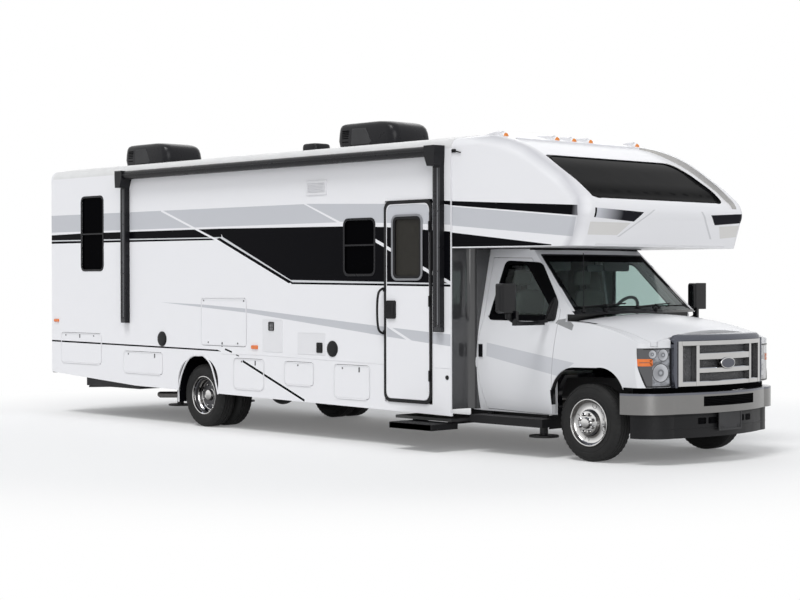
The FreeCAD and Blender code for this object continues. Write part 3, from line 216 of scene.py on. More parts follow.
class Paint(Tree):
    """One material, whose colour is painted step by step."""

    def __init__(self, name, colour, roughness=0.5, metallic=0.0, **sockets):
        self.material = bpy.data.materials.new(name)
        self.material.use_nodes = True
        super().__init__(self.material.node_tree)
        self.shader = self.tree.nodes["Principled BSDF"]
        self.end = self.tree.nodes["Material Output"].inputs["Surface"]
        coordinates = self.add("ShaderNodeTexCoord").outputs
        self.place, self.normal = coordinates["Object"], coordinates["Normal"]
        self.colour, self.rough = colour, roughness
        self.set("Metallic", metallic)
        for key, number in sockets.items():
            self.set(key.replace("_", " "), number)

    def set(self, name, thing):
        self.feed(self.shader.inputs[name], thing)

    def split(self, vector):
        return self.add("ShaderNodeSeparateXYZ", {0: vector}).outputs

    def width(self):
        """How far a point lies from the middle plane."""
        return self.math("ABSOLUTE", self.split(self.place)[1])

    def noise(self, scale, detail=3.0, stretch=(1, 1, 1)):
        stretched = self.add("ShaderNodeVectorMath", {0: self.place, 1: stretch}, operation="MULTIPLY")
        inputs = {"Vector": stretched.outputs[0], "Scale": scale, "Detail": detail}
        return self.add("ShaderNodeTexNoise", inputs).outputs["Fac"]

    def mix(self, factor, first, second):
        inputs = {"Factor": factor, "A": first, "B": second}
        return self.add("ShaderNodeMix", inputs, data_type="RGBA").outputs["Result"]

    def cover(self, mask, colour):
        """Paints a colour where the mask is 1."""
        self.colour = self.mix(mask, self.colour, colour)

    def edges(self, corners, axes):
        """For each edge of a convex outline: a point's place along its inward normal, and the edge's."""
        for here, there in zip(corners, corners[1:] + corners[:1]):
            inward = Vector((here[1] - there[1], there[0] - here[0])).normalized()
            direction = [0.0, 0.0, 0.0]
            direction[axes[0]], direction[axes[1]] = inward
            node = self.add("ShaderNodeVectorMath", {0: self.place, 1: direction}, operation="DOT_PRODUCT")
            yield node.outputs["Value"], inward.dot(here)

    def polygon(self, corners, axes=(0, 2)):
        """1 inside a convex outline, given anticlockwise in the plane of two axes."""
        return self.all(*[self.above(place, start) for place, start in self.edges(corners, axes)])

    def near_outline(self, corners, width, axes=(0, 2)):
        """Fades from 1 on a convex outline, given anticlockwise, to 0 at a width from it."""
        sides = [self.math("SUBTRACT", place, start) for place, start in self.edges(corners, axes)]
        return self.span(self.math("ABSOLUTE", self.fold("MINIMUM", sides)), 1.0, 0.0, 0.0, width)

    def outward(self, axis):
        """How squarely the surface faces away from the object's middle along an axis."""
        side = self.math("SIGN", self.split(self.place)[axis])
        return self.math("MULTIPLY", self.split(self.normal)[axis], side)

    def facing(self, axis):
        return self.above(self.outward(axis), TURNED)

    def turned_in(self):
        return self.below(self.outward(1), -TURNED)

    def bands(self, layers):
        """Bands on the outside, each layer a colour and its outlines."""
        facing = self.facing(1)
        for colour, outlines in layers:
            self.cover(self.all(self.any(*[self.polygon(shifted(o)) for o in outlines]), facing), colour)

    def patches(self, outlines, colour):
        """Patches on the front, from outlines across the vehicle."""
        mask = self.all(self.any(*[self.polygon(o, (1, 2)) for o in outlines]), self.facing(0))
        self.cover(mask, colour)
        return mask

    def grain(self, height, strength, distance):
        inputs = {"Strength": strength, "Distance": distance, "Height": height}
        self.set("Normal", self.add("ShaderNodeBump", inputs).outputs[0])

    def mottle(self, scale, spread, rough):
        """Slight unevenness of colour and gloss."""
        patches = self.noise(scale, 4.0)
        self.cover(self.span(patches, 0.0, spread), (0.0, 0.0, 0.0))
        self.rough = self.span(patches, max(self.rough - rough, 0.02), self.rough + rough, 0.3, 0.7)

    def done(self):
        self.set("Base Color", self.colour)
        self.set("Roughness", self.rough)
        return self.material


WHITE = (0.80, 0.80, 0.82)
CAB_WHITE = (0.69, 0.695, 0.715)
BAND_GREY = (0.53, 0.54, 0.57)
SILVER = (0.62, 0.63, 0.65)
BLACK = (0.003, 0.003, 0.0042)
INSIDE = (0.45, 0.44, 0.42)
COWL_GREY = (0.26, 0.265, 0.27)


def stroke(start, end, width):
    """The corners of a straight line of paint, anticlockwise."""
    (x0, z0), (x1, z1) = start, end
    length = math.hypot(x1 - x0, z1 - z0)
    dx, dz = (x1 - x0) / length * width / 2, (z1 - z0) / length * width / 2
    return [(x0 + dz, z0 - dx), (x1 + dz, z1 - dx), (x1 - dz, z1 + dx), (x0 - dz, z0 + dx)]


# Outlines of the paint: x ahead of the front axle and z on the sides, y and z on the nose

COACH_BANDS = [
    [(-8.9, 2.337), (-3.24, 2.328), (-3.79, 2.540), (-8.9, 2.555)],
    [(-3.19, 2.334), (-1.5, 2.260), (-1.5, 2.455), (-2.506, 2.501), (-3.75, 2.542)],
    [(-6.433, 1.452), (-4.786, 1.348), (-4.786, 1.393), (-5.583, 1.431)],
    [(-4.786, 1.348), (-2.63, 1.147), (-2.63, 1.240), (-4.786, 1.393)],
    [(-2.63, 1.147), (-1.5, 1.051), (-1.5, 1.171), (-2.63, 1.240)],
]
COACH_SILVER = [
    [(-8.9, 2.215), (-5.35, 2.190), (-5.20, 2.190), (-5.20, 2.225), (-8.9, 2.245)],
    [(-5.35, 2.200), (-4.03, 1.685), (-3.95, 1.740), (-5.22, 2.230)],
    [(-4.03, 1.685), (-1.5, 1.660), (-1.5, 1.690), (-4.00, 1.720)],
]
COACH_BLACK = [
    [(-8.9, 2.236), (-5.25, 2.210), (-5.25, 2.308), (-8.15, 2.312), (-8.9, 2.302)],
    [(-5.30, 2.308), (-5.225, 2.210), (-4.01, 1.716), (-1.5, 1.681), (-1.5, 2.191), (-1.82, 2.215),
     (-2.5, 2.262), (-3.15, 2.283)],
    [(-8.9, 2.192), (-5.37, 2.178), (-5.42, 2.198), (-8.9, 2.221)],
    [(-5.345, 2.190), (-4.045, 1.680), (-3.975, 1.690), (-5.285, 2.203)],
    [(-4.000, 1.671), (-1.5, 1.646), (-1.5, 1.667), (-4.010, 1.692)],
    [(-2.15, 2.530), (-1.5, 2.452), (-1.5, 2.496)],
    [(-8.90, 0.923), (-5.26, 0.896), (-5.33, 0.914), (-8.90, 0.944)],
    stroke((-5.19, 0.925), (-5.06, 0.894), 0.020),
    stroke((-4.99, 0.868), (-4.93, 0.853), 0.012),
    stroke((-4.861, 0.799), (-3.780, 0.404), 0.026),
]
COACH_WHITE = [stroke((-6.43, 2.549), (-5.33, 2.173), 0.024), stroke((-2.68, 2.141), (-1.5, 1.667), 0.034),
               stroke((-2.425, 1.235), (-2.03, 1.065), 0.026)]
OVERCAB_GREY = [[(-1.56, 2.256), (0.04, 2.116), (0.085, 2.296), (-1.56, 2.444)]]
OVERCAB_BLACK = [
    [(-1.56, 2.456), (0.102, 2.309), (0.102, 2.406), (-1.56, 2.498)],
    [(-1.56, 2.042), (-0.218, 2.036), (-0.218, 2.046), (-1.56, 2.188)],
]
COWL_CORNER = [[(-0.489, 1.317), (-0.205, 1.232), (-0.192, 1.284), (-0.343, 1.396), (-0.40, 1.330)]]
CAB_GREY = [[(-1.30, 0.958), (-0.364, 0.796), (-0.151, 0.927), (-1.30, 1.092)]]
NOSE_DARK = [[(-1.118, 2.294), (-0.52, 2.265), (-0.40, 2.358), (-1.118, 2.383)],
             [(0.76, 2.257), (1.20, 2.287), (1.20, 2.380), (0.66, 2.353)]]
NOSE_GREY = [[(-1.150, 2.133), (-0.72, 2.134), (-0.56, 2.252), (-1.150, 2.252)],
             [(0.90, 2.126), (1.17, 2.146), (1.17, 2.260), (0.84, 2.245)]]
# Thin lines of painted shade along the raised creases on the nose.
NOSE_CREASE_SHADES = [[(-0.715, 2.118), (-0.685, 2.118), (-0.225, 2.385), (-0.255, 2.385)],
                [(0.735, 2.118), (0.765, 2.118), (0.525, 2.385), (0.495, 2.385)]]
# Outline whose edge gets painted shade beside the cap's side crease.
SIDE_CREASE = [(-3.0, 1.8), (-0.16, 1.8), (0.019, 2.074), (0.093, 2.241), (0.118, 2.410), (0.093, 2.487),
               (-0.132, 2.705), (-0.439, 2.893), (-0.605, 2.992), (-0.787, 3.060), (-1.300, 3.160),
               (-3.0, 3.4)]
# Height above which the bumper's top ledge gets a painted reflection.
BUMPER_LEDGE = 0.650
CLEARANCE_AMBER_FROM = 3.012
# Centres and radii of the reflectors drawn in painted shade and highlight on the headlamps.
REFLECTORS = ((0.775, 1.022, 0.052), (0.800, 0.858, 0.080), (0.885, 1.030, 0.036))
REAR_ARCH = [(-6.30, 0.20), (-5.13, 0.20), (-5.13, 0.80), (-5.30, 0.90), (-6.05, 0.90), (-6.30, 0.80)]
ARCH_LIP = 1.255
CAB_BLACK = {"wheelhouse": (-0.47, 0.545, 0.996, 0.0, 1.02), "cowl": (-0.34, 0.05, 0.935, 1.28, 1.415),
             "header": (-0.90, 9.0, 0.84, 2.008, 9.0)}
MIRRORS_FROM = 1.0140
LAMP_SLANT = (0.944, 0.727, 0.345)
LAMP_SLANT_TOP = 0.96


def bodywork(paint, spread, rough):
    """The even finish of painted panels."""
    paint.mottle(2.0, spread, rough)
    paint.grain(paint.noise(300, 2.0), 0.03, 0.0004)
    return paint.done()


def gelcoat(name, layers=(), walled=True, art=None, ground=WHITE):
    """White bodywork with its painted bands on the outside only, dull inside and dark in the rear arch."""
    paint = Paint(name, ground, 0.25, Specular_IOR_Level=0.03)
    if layers:
        paint.bands(layers)
    if walled:
        paint.cover(paint.turned_in(), INSIDE)
        edge = paint.below(paint.math("ABSOLUTE", paint.split(paint.normal)[1]), TURNED)
        deep = paint.below(paint.width(), ARCH_LIP)
        paint.cover(paint.all(edge, deep, paint.polygon(shifted(REAR_ARCH))), BLACK)
    if art:
        art(paint)
    return bodywork(paint, 0.008, 0.02)


def nose_art(paint):
    """Patches on the cap's nose with a painted highlight across the right dark patch, painted shade lines on
    the nose's creases, and painted soft shade along the crease beside them.
    """
    across = paint.split(paint.place)[1]
    paint.patches(NOSE_GREY, (0.68, 0.67, 0.655))
    # Painted highlight: the right dark patch lightens to silver towards its outer edge.
    painted_highlight = paint.mix(paint.span(across, 0.0, 1.0, -0.70, -1.06), (0.010, 0.010, 0.014), (0.55, 0.56, 0.60))
    dark = paint.patches(NOSE_DARK, painted_highlight)
    paint.cover(paint.all(dark, paint.below(across, -1.092)), BLACK)
    # Painted shade lines along the nose's raised creases.
    paint.patches(NOSE_CREASE_SHADES, (0.62, 0.62, 0.64))
    # Painted shade along the side crease, near the cap's outer edges.
    near = paint.near_outline(shifted(SIDE_CREASE), 0.075)
    beside = paint.span(paint.width(), 0.0, 0.55, 1.06, 1.20)
    paint.cover(paint.all(near, beside), (0.36, 0.36, 0.39))


def cab_paint():
    """Cab bodywork: white outside, black in the wheelhouse, round the glass and on the mirrors."""
    paint = Paint("cab_paint", CAB_WHITE, 0.22, Coat_Weight=0.35, Coat_Roughness=0.05,
                  Specular_IOR_Level=0.12)
    paint.bands([(BAND_GREY, CAB_GREY), (COWL_GREY, COWL_CORNER)])
    paint.cover(paint.turned_in(), INSIDE)
    x, y, z = paint.split(paint.place)
    width = paint.math("ABSOLUTE", y)
    masks = [paint.all(paint.above(x, ahead(x0)), paint.below(x, ahead(x1)), paint.below(width, half),
                       paint.above(z, z0), paint.below(z, z1))
             for x0, x1, half, z0, z1 in CAB_BLACK.values()]
    paint.cover(paint.any(*masks, paint.above(width, MIRRORS_FROM)), BLACK)
    return bodywork(paint, 0.02, 0.05)


def plain(name, colour, roughness, metallic=0.0, spread=0.15, bump=0.1, fine=250.0, **sockets):
    if metallic == 0 and max(colour) < 0.1 and not sockets:
        sockets = {"Specular_IOR_Level": 0.2}
    paint = Paint(name, colour, roughness, metallic, **sockets)
    paint.mottle(6.0, spread, 0.06)
    paint.grain(paint.noise(fine, 2.0), bump, 0.0006)
    return paint.done()


def glass(name, tint, gloss=0.04):
    """Tinted glass that lets light through and mirrors a little."""
    paint = Paint(name, (0.02, 0.02, 0.02), gloss)
    clear = paint.add("ShaderNodeBsdfTransparent", {"Color": tint})
    shine = paint.add("ShaderNodeBsdfGlossy", {"Roughness": gloss, "Color": (0.9, 0.95, 0.95)})
    fresnel = paint.add("ShaderNodeFresnel", {"IOR": 1.4})
    outside = paint.math("SUBTRACT", 1.0, paint.add("ShaderNodeNewGeometry").outputs["Backfacing"])
    paint.blend(paint.all(fresnel.outputs[0], outside), clear.outputs[0], shine.outputs[0], paint.end)
    return paint.done()


def chromed(name, roughness=0.08, face=1.0):
    """Plating with painted reflections: dark where it faces the ground, bright where it faces sideways and
    bluish grey where it faces up; a face below 1 dims the bright reflection and adds a bluish painted
    reflection on the bumper's top ledge.
    """
    paint = Paint(name, (0.12, 0.115, 0.11), roughness, 1.0)
    up = paint.split(paint.normal)[2]
    # Painted reflection: bright where the plating faces sideways, dark where it faces down.
    paint.cover(paint.span(up, 0.0, 1.0, -0.25, 0.15), (0.78 * face, 0.775 * face, 0.77 * face))
    # Painted reflection: bluish grey where the plating faces up.
    paint.cover(paint.span(up, 0.0, 1.0, 0.35, 0.75), (0.30, 0.32, 0.37))
    if face < 1.0:
        # Painted reflection along the bumper's top ledge.
        paint.cover(paint.above(paint.split(paint.place)[2], BUMPER_LEDGE), (0.16, 0.165, 0.19))
    paint.mottle(5.0, 0.12, 0.02)
    return paint.done()


def meshed(name):
    """Fine dark honeycomb of a grille's insert."""
    paint = Paint(name, (0.012, 0.012, 0.013), 0.5)
    cells = paint.add("ShaderNodeTexVoronoi", {"Vector": paint.place, "Scale": 90},
                      feature="DISTANCE_TO_EDGE")
    ribs = paint.below(cells.outputs["Distance"], 0.12)
    paint.cover(ribs, (0.10, 0.10, 0.105))
    paint.grain(ribs, 0.6, 0.002)
    return paint.done()


def screened(name):
    """Dark obscured glass with a fine speckle."""
    paint = Paint(name, (0.018, 0.017, 0.015), 0.35, Specular_IOR_Level=0.05)
    speckle = paint.above(paint.noise(420, 1.0), 0.56)
    paint.cover(speckle, (0.070, 0.066, 0.058))
    paint.grain(speckle, 0.3, 0.001)
    return paint.done()


def clearance_lens():
    """White lamp body with an amber nose."""
    paint = Paint("clearance_lens", (0.74, 0.74, 0.76), 0.3)
    paint.cover(paint.above(paint.split(paint.place)[0], CLEARANCE_AMBER_FROM), (0.72, 0.22, 0.03))
    paint.mottle(9.0, 0.05, 0.05)
    return paint.done()


def headlamp_inside():
    """Smoked housing with round reflectors drawn in painted shade and painted highlight: dark rimmed,
    lighter to one side and light in the centre; the corner outside its slanting edge is bodywork.
    """
    paint = Paint("headlamp_inside", (0.05, 0.053, 0.06), 0.10, 0.35, Coat_Weight=1.0, Coat_Roughness=0.02)
    x, y, z = paint.split(paint.place)
    width = paint.math("ABSOLUTE", y)
    streaks = paint.noise(13, 3.0, (1, 1, 2.0))
    paint.cover(paint.span(streaks, 0.0, 1.0, 0.38, 0.66), (0.30, 0.31, 0.34))
    paint.cover(paint.above(width, 0.885), (0.055, 0.055, 0.06))
    # Painted shade and highlight of the reflector bowls: a dark rim, a bowl lightening to one side, a dark
    # ring and a light centre.
    for at_y, at_z, radius in REFLECTORS:
        legs = [paint.math("POWER", paint.math("SUBTRACT", here, there), 2.0)
                for here, there in ((width, at_y), (z, at_z))]
        away = paint.math("SQRT", paint.fold("ADD", legs))
        tilt = paint.math("ADD", away, paint.math("MULTIPLY", paint.math("SUBTRACT", at_y, width), 0.7))
        shade = paint.mix(paint.span(tilt, 0.0, 1.0, -radius * 0.1, radius), (0.16, 0.165, 0.18),
                          (0.46, 0.47, 0.50))
        for share, colour in ((1.10, (0.03, 0.032, 0.038)), (1.0, shade), (0.42, (0.13, 0.135, 0.15)),
                              (0.20, (0.34, 0.35, 0.38))):
            paint.cover(paint.below(away, radius * share), colour)
    foot_y, foot_z, lean = LAMP_SLANT
    slope = paint.math("ADD", foot_y, paint.math("MULTIPLY", paint.math("SUBTRACT", z, foot_z), lean))
    low = paint.below(z, LAMP_SLANT_TOP)
    paint.cover(paint.all(paint.above(width, slope), low), (0.02, 0.02, 0.02))
    paint.cover(paint.all(paint.above(width, paint.math("ADD", slope, 0.014)), low), CAB_WHITE)
    return paint.done()


# Shapes

def place(plane, u, v, w):
    """A point from its place in a side, front or plan view and its depth."""
    return {"side": (u, w, v), "front": (w, u, v), "plan": (u, v, w)}[plane]


def rounded(x0, x1, z0, z1, radius, steps=4):
    """A rounded rectangle, anticlockwise."""
    corners = [(x1 - radius, z0 + radius, -90), (x1 - radius, z1 - radius, 0),
               (x0 + radius, z1 - radius, 90), (x0 + radius, z0 + radius, 180)]
    return [(cx + radius * math.cos(math.radians(start + 90 * i / steps)),
             cz + radius * math.sin(math.radians(start + 90 * i / steps)))
            for cx, cz, start in corners for i in range(steps + 1)]


def softened(corners, radius, steps=4):
    """A closed outline whose corners are rounded off."""
    outline = []
    for i, corner in enumerate(corners):
        here = Vector(corner)
        before, after = Vector(corners[i - 1]) - here, Vector(corners[(i + 1) % len(corners)]) - here
        cut = min(radius, before.length * 0.45, after.length * 0.45)
        start, end = here + before.normalized() * cut, here + after.normalized() * cut
        for k in range(steps + 1):
            t = k / steps
            outline.append(tuple((1 - t) ** 2 * start + 2 * t * (1 - t) * here + t * t * end))
    return outline


def divided(outline, length=0.04):
    """A closed outline with more points on its long runs."""
    result = []
    for here, there in zip(outline, outline[1:] + outline[:1]):
        count = max(1, round(math.dist(here, there) / length))
        result += [tuple(a + (b - a) * k / count for a, b in zip(here, there)) for k in range(count)]
    return result


def shrunk(outline, inset):
    """A closed outline moved inward by the same distance everywhere."""
    result = []
    for before, here, after in zip(outline[-1:] + outline[:-1], outline, outline[1:] + outline[:1]):
        dx, dy = after[0] - before[0], after[1] - before[1]
        length = math.hypot(dx, dy) or 1.0
        result.append((here[0] - dy / length * inset, here[1] + dx / length * inset))
    return result


def smooth_path(points, steps=6):
    """A curve through the points, finely divided."""
    knots = [Vector(p) for p in points]
    knots = [2 * knots[0] - knots[1]] + knots + [2 * knots[-1] - knots[-2]]
    path = []
    for a, b, c, d in zip(knots, knots[1:], knots[2:], knots[3:]):
        for t in (k / steps for k in range(steps)):
            path.append(0.5 * (2 * b + (c - a) * t + (2 * a - 5 * b + 4 * c - d) * t * t
                               + (3 * b - a - 3 * c + d) * t ** 3))
    return [tuple(p) for p in path] + [tuple(points[-1])]


def run(start, end, count):
    """Evenly spaced values from start to end, both included."""
    return [start + (end - start) * i / count for i in range(count + 1)]


def smooth_piece(name, mesh, material):
    """A smooth-shaded piece of one material."""
    mesh.polygons.foreach_set("use_smooth", [True] * len(mesh.polygons))
    mesh.materials.append(M[material])
    return placed(name, mesh)


class Shape:
    """The points and faces of one piece, gathered from simple sweeps."""

    def __init__(self, points=(), faces=()):
        self.points = list(points)
        self.faces = list(faces)

    def loft(self, rings, caps=True, looped=False):
        size, start, count = len(rings[0]), len(self.points), len(rings)
        for ring in rings:
            self.points += [tuple(p) for p in ring]
        for i in range(count if looped else count - 1):
            low, high = start + i * size, start + (i + 1) % count * size
            for j in range(size):
                k = (j + 1) % size
                self.faces.append((low + j, low + k, high + k, high + j))
        if caps and not looped:
            last = start + (count - 1) * size
            self.faces.append(tuple(range(start + size - 1, start - 1, -1)))
            self.faces.append(tuple(range(last, last + size)))
        return self

    def slab(self, outline, plane, low, high, taper=None):
        """An outline given thickness; the high side may have its own outline."""
        return self.loft([[place(plane, u, v, low) for u, v in outline],
                          [place(plane, u, v, high) for u, v in taper or outline]])

    def bar(self, rect, radius, plane, low, high, steps=4):
        """A rounded rectangle given thickness."""
        return self.slab(rounded(*rect, radius, steps), plane, low, high)

    def lens(self, rect, radius, plane, low, high, slope):
        """A rounded rectangle whose high side is wider by the slope."""
        return self.slab(rounded(*rect, radius), plane, low, high, rounded(*grown(rect, slope), radius))

    def frame(self, outer, inner, plane, low, high):
        loops = ((outer, low), (outer, high), (inner, high), (inner, low))
        return self.loft([[place(plane, u, v, w) for u, v in loop] for loop, w in loops], looped=True)

    def rim(self, rect, inset, radii, plane, low, high):
        """A frame round a rectangle, as wide as the inset, with its outer and inner corner radii."""
        inner = rounded(*grown(rect, -inset), radii[1])
        return self.frame(rounded(*rect, radii[0]), inner, plane, low, high)

    def turned(self, profile, centre, axis="y", steps=48, looped=False, caps=True):
        """A profile of (radius, distance along the axis) turned round a centre."""
        rings = []
        for radius, along in profile:
            ring = []
            for i in range(steps):
                angle = 2 * math.pi * i / steps
                a, b = radius * math.cos(angle), radius * math.sin(angle)
                offset = {"y": (a, along, b), "x": (along, a, b), "z": (a, b, along)}[axis]
                ring.append(tuple(c + o for c, o in zip(centre, offset)))
            rings.append(ring)
        return self.loft(rings, caps=caps, looped=looped)

    def tube(self, path, radius, steps=8):
        """A round bar along a path."""
        points = [Vector(p) for p in path]
        rings = []
        side = (points[1] - points[0]).normalized().orthogonal().normalized()
        for i, point in enumerate(points):
            along = (points[min(i + 1, len(points) - 1)] - points[max(i - 1, 0)]).normalized()
            side = (side - along * side.dot(along)).normalized()
            other = along.cross(side)
            angles = [2 * math.pi * k / steps for k in range(steps)]
            rings.append([tuple(point + radius * (side * math.cos(a) + other * math.sin(a)))
                          for a in angles])
        return self.loft(rings)

    def flipped(self):
        """The same shape on the other side of the vehicle."""
        return Shape([(x, -y, z) for x, y, z in self.points], [tuple(reversed(face)) for face in self.faces])

    def joined(self, other):
        start = len(self.points)
        self.points += other.points
        self.faces += [tuple(start + i for i in face) for face in other.faces]
        return self

    def both(self):
        return self.joined(self.flipped())

    def make(self, name, material, body="coach", bevel=0.0, angle=32, swaps=()):
        """The piece itself, riding on a body and standing for the nodes it swaps."""
        mesh = bpy.data.meshes.new(name)
        mesh.from_pydata(self.points, [], self.faces)
        work = bmesh.new()
        work.from_mesh(mesh)
        bmesh.ops.recalc_face_normals(work, faces=work.faces)
        work.to_mesh(mesh)
        work.free()
        piece = smooth_piece(name, mesh, material)
        mesh.set_sharp_from_angle(angle=math.radians(angle))
        if bevel:
            rounding = piece.modifiers.new("rounding", "BEVEL")
            rounding.width = bevel
            rounding.segments = 2
            rounding.limit_method = "ANGLE"
            rounding.angle_limit = math.radians(35)
        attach(piece, body)
        for node in swaps:
            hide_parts(node)

    def pair(self, name, material, body="coach", swaps=(), **settings):
        """A right piece and its twin on the left, each on its own side's body."""
        for shape, side in ((self, "right"), (self.flipped(), "left")):
            shape.make("%s_%s" % (name, side), material, body.replace("SIDE", side),
                       swaps=[node.replace("SIDE", side) for node in swaps], **settings)


def loose_parts(node):
    """The loose parts of a node's mesh, each as a shape."""
    mesh = nodes[node].data
    label = list(range(len(mesh.vertices)))

    def root(i):
        while label[i] != i:
            label[i] = label[label[i]]
            i = label[i]
        return i

    for edge in mesh.edges:
        label[root(edge.vertices[0])] = root(edge.vertices[1])
    parts = {}
    for polygon in mesh.polygons:
        parts.setdefault(root(polygon.vertices[0]), []).append(polygon)
    for polygons in parts.values():
        used = sorted({i for p in polygons for i in p.vertices})
        index = {old: new for new, old in enumerate(used)}
        yield Shape([tuple(mesh.vertices[i].co) for i in used],
                    [tuple(index[i] for i in p.vertices) for p in polygons])


TO_BACK, DOWN = (-1, 0, 0), (0, 0, -1)
IN_FRONT = 8


class Skin:
    """Nodes' surfaces, for laying thin pieces on them."""

    def __init__(self, *names):
        points, faces = [], []
        for name in names:
            mesh = nodes[name].data
            start = len(points)
            points += [v.co.copy() for v in mesh.vertices]
            faces += [tuple(start + i for i in p.vertices) for p in mesh.polygons]
        self.tree = BVHTree.FromPolygons(points, faces)
        self.middle = Vector([(min(p[k] for p in points) + max(p[k] for p in points)) / 2 for k in range(3)])

    def laid(self, point, way, lift=0.0):
        """The point moved along a way onto the surface, or to its nearest edge, and raised a little."""
        way, start = Vector(way), Vector(point)
        hit, normal = self.tree.ray_cast(start - way * 3, way)[:2]
        for _ in range(0 if hit else 12):
            depth = hit or self.middle
            hit, normal = self.tree.find_nearest(start + way * (depth - start).dot(way))[:2]
        if normal.dot(way) > 0:
            normal = -normal
        return tuple(hit + normal * lift)

    def front(self, outline, lift=0.0):
        """An outline seen from the front, laid on the surface."""
        return [self.laid((IN_FRONT, y, z), TO_BACK, lift) for y, z in outline]

    def band(self, shape, outer, inner, low, high):
        """Adds a flat trim between two outlines seen from the front."""
        shape.loft([self.front(outer, low), self.front(outer, high), self.front(inner, high),
                    self.front(inner, low)], looped=True)

    def cord(self, shape, path, radius, lift=0.0):
        shape.tube(self.front(path, lift), radius, steps=6)


# Wheels and tyres

WHEEL_Z = 0.368
REAR_AXLE = -1.655
TYRE_HALF_WIDTH = 0.1125
TYRE_STEPS = 132
TREAD_GROOVES = (0.058, 0.020, -0.020, -0.058)
GROOVE = ((0.3670, 0.0045), (0.3590, 0.0030), (0.3590, -0.0030), (0.3670, -0.0045))
TYRE_SIDE = [(0.222, 0.024), (0.232, 0.012), (0.246, 0.007), (0.262, 0.003), (0.272, 0.0015),
             (0.274, 0.0045), (0.290, 0.003), (0.306, 0.004), (0.322, 0.009), (0.334, 0.015),
             (0.336, 0.012), (0.347, 0.019), (0.358, 0.028), (0.3635, 0.037)]


def tyre_profile():
    """Section of a tyre: bead, sidewall with its moulded rings, shoulder, ribs and grooves."""
    out = [(radius, TYRE_HALF_WIDTH - inward) for radius, inward in TYRE_SIDE]
    shoulder = TYRE_HALF_WIDTH - 0.040
    tread = [(radius, groove + offset) for groove in TREAD_GROOVES for radius, offset in GROOVE]
    other_side = [(r, -y) for r, y in reversed(out)]
    return out + [(0.3660, shoulder)] + tread + [(0.3660, -shoulder)] + other_side


def make_tyre(shape, x, y):
    """Adds a tyre whose shoulder ribs are notched all round."""
    profile = tyre_profile()
    start = len(shape.points)
    shape.turned(profile, (x, y, WHEEL_Z), steps=TYRE_STEPS, looped=True)
    for ring, (radius, along) in enumerate(profile):
        if radius > 0.345 and abs(along) > TYRE_HALF_WIDTH - 0.048:
            for index in range(start + ring * TYRE_STEPS, start + (ring + 1) * TYRE_STEPS, 3):
                px, py, pz = shape.points[index]
                pull = 1 - 0.007 / radius
                shape.points[index] = (x + (px - x) * pull, py, WHEEL_Z + (pz - WHEEL_Z) * pull)


RIM_EDGE = [(0.219, -0.012), (0.226, -0.004), (0.2255, 0.0), (0.219, 0.002), (0.212, -0.001)]
FRONT_LINER = [*RIM_EDGE, (0.206, -0.011), (0.199, -0.026), (0.190, -0.034), (0.172, -0.038),
               (0.150, -0.038), (0.135, -0.036), (0.126, -0.030), (0.121, -0.018), (0.117, 0.004),
               (0.110, 0.016), (0.100, 0.020), (0.070, 0.021), (0.056, 0.022), (0.052, 0.026),
               (0.050, 0.046), (0.046, 0.054), (0.036, 0.058), (0.0005, 0.059)]
REAR_LINER = [*RIM_EDGE, (0.207, -0.012), (0.203, -0.040), (0.198, -0.068), (0.190, -0.078), (0.184, -0.080),
              (0.182, -0.096), (0.176, -0.112), (0.158, -0.119), (0.125, -0.120), (0.108, -0.118),
              (0.090, -0.110), (0.074, -0.104), (0.066, -0.100), (0.064, -0.072), (0.060, -0.062),
              (0.050, -0.058), (0.0005, -0.057)]
NUT = [(0.0165, 0.006), (0.0165, -0.014), (0.015, -0.018), (0.0125, -0.030), (0.010, -0.035),
       (0.0005, -0.037)]
HAND_HOLE = [(0.0005, 0.006), (0.023, 0.006), (0.0255, 0.002), (0.0265, -0.0035), (0.0240, -0.0045),
             (0.0225, -0.001), (0.0005, 0.001)]
NUT_COUNT = 8
BARREL = 0.190


def round_wheel(shape, profile, x, y, circle, count, turn, steps):
    """Adds copies of a turned profile on a circle of the wheel."""
    for i in range(count):
        angle = 2 * math.pi * i / count + turn
        centre = (x + circle * math.cos(angle), y, WHEEL_Z + circle * math.sin(angle))
        shape.turned(profile, centre, steps=steps)


def wheel(name, x, face, liner, nuts, holes, body, node):
    """A bright liner with nuts, valve and hand holes, in front of a painted barrel."""
    centre = (x, face, WHEEL_Z)
    shine = Shape().turned([(r, -a) for r, a in liner], centre, steps=72, caps=False)
    round_wheel(shine, NUT, x, face - nuts[1], nuts[0], NUT_COUNT, math.pi / NUT_COUNT, 12)
    shine.pair(name + "_liner", "chrome", body, swaps=[node], angle=28)
    dark = Shape()
    round_wheel(dark, HAND_HOLE, x, face - holes[1], holes[0], 4, math.pi / 4 + 0.5, 24)
    dark.pair(name + "_hand_holes", "deep_black", body)
    steel = Shape()
    steel.turned([(0.222, 0.006), (0.218, 0.02), (0.200, 0.03), (0.197, BARREL - 0.035),
                  (0.205, BARREL - 0.01), (0.222, BARREL), (0.224, BARREL - 0.006), (0.210, BARREL - 0.02),
                  (0.206, BARREL * 0.6), (0.207, 0.040)], centre, steps=64, looped=True)
    steel.turned([(0.199, 0.12), (0.120, 0.105), (0.0005, 0.100), (0.0005, 0.108), (0.118, 0.113),
                  (0.199, 0.128)], centre, looped=True)
    stem = Vector((x + 0.196, face + 0.02, WHEEL_Z))
    steel.tube([stem, stem + Vector((-0.012, -0.014, 0)), stem + Vector((-0.018, -0.032, 0))], 0.004)
    steel.pair(name + "_barrel", "steel_wheel", body)


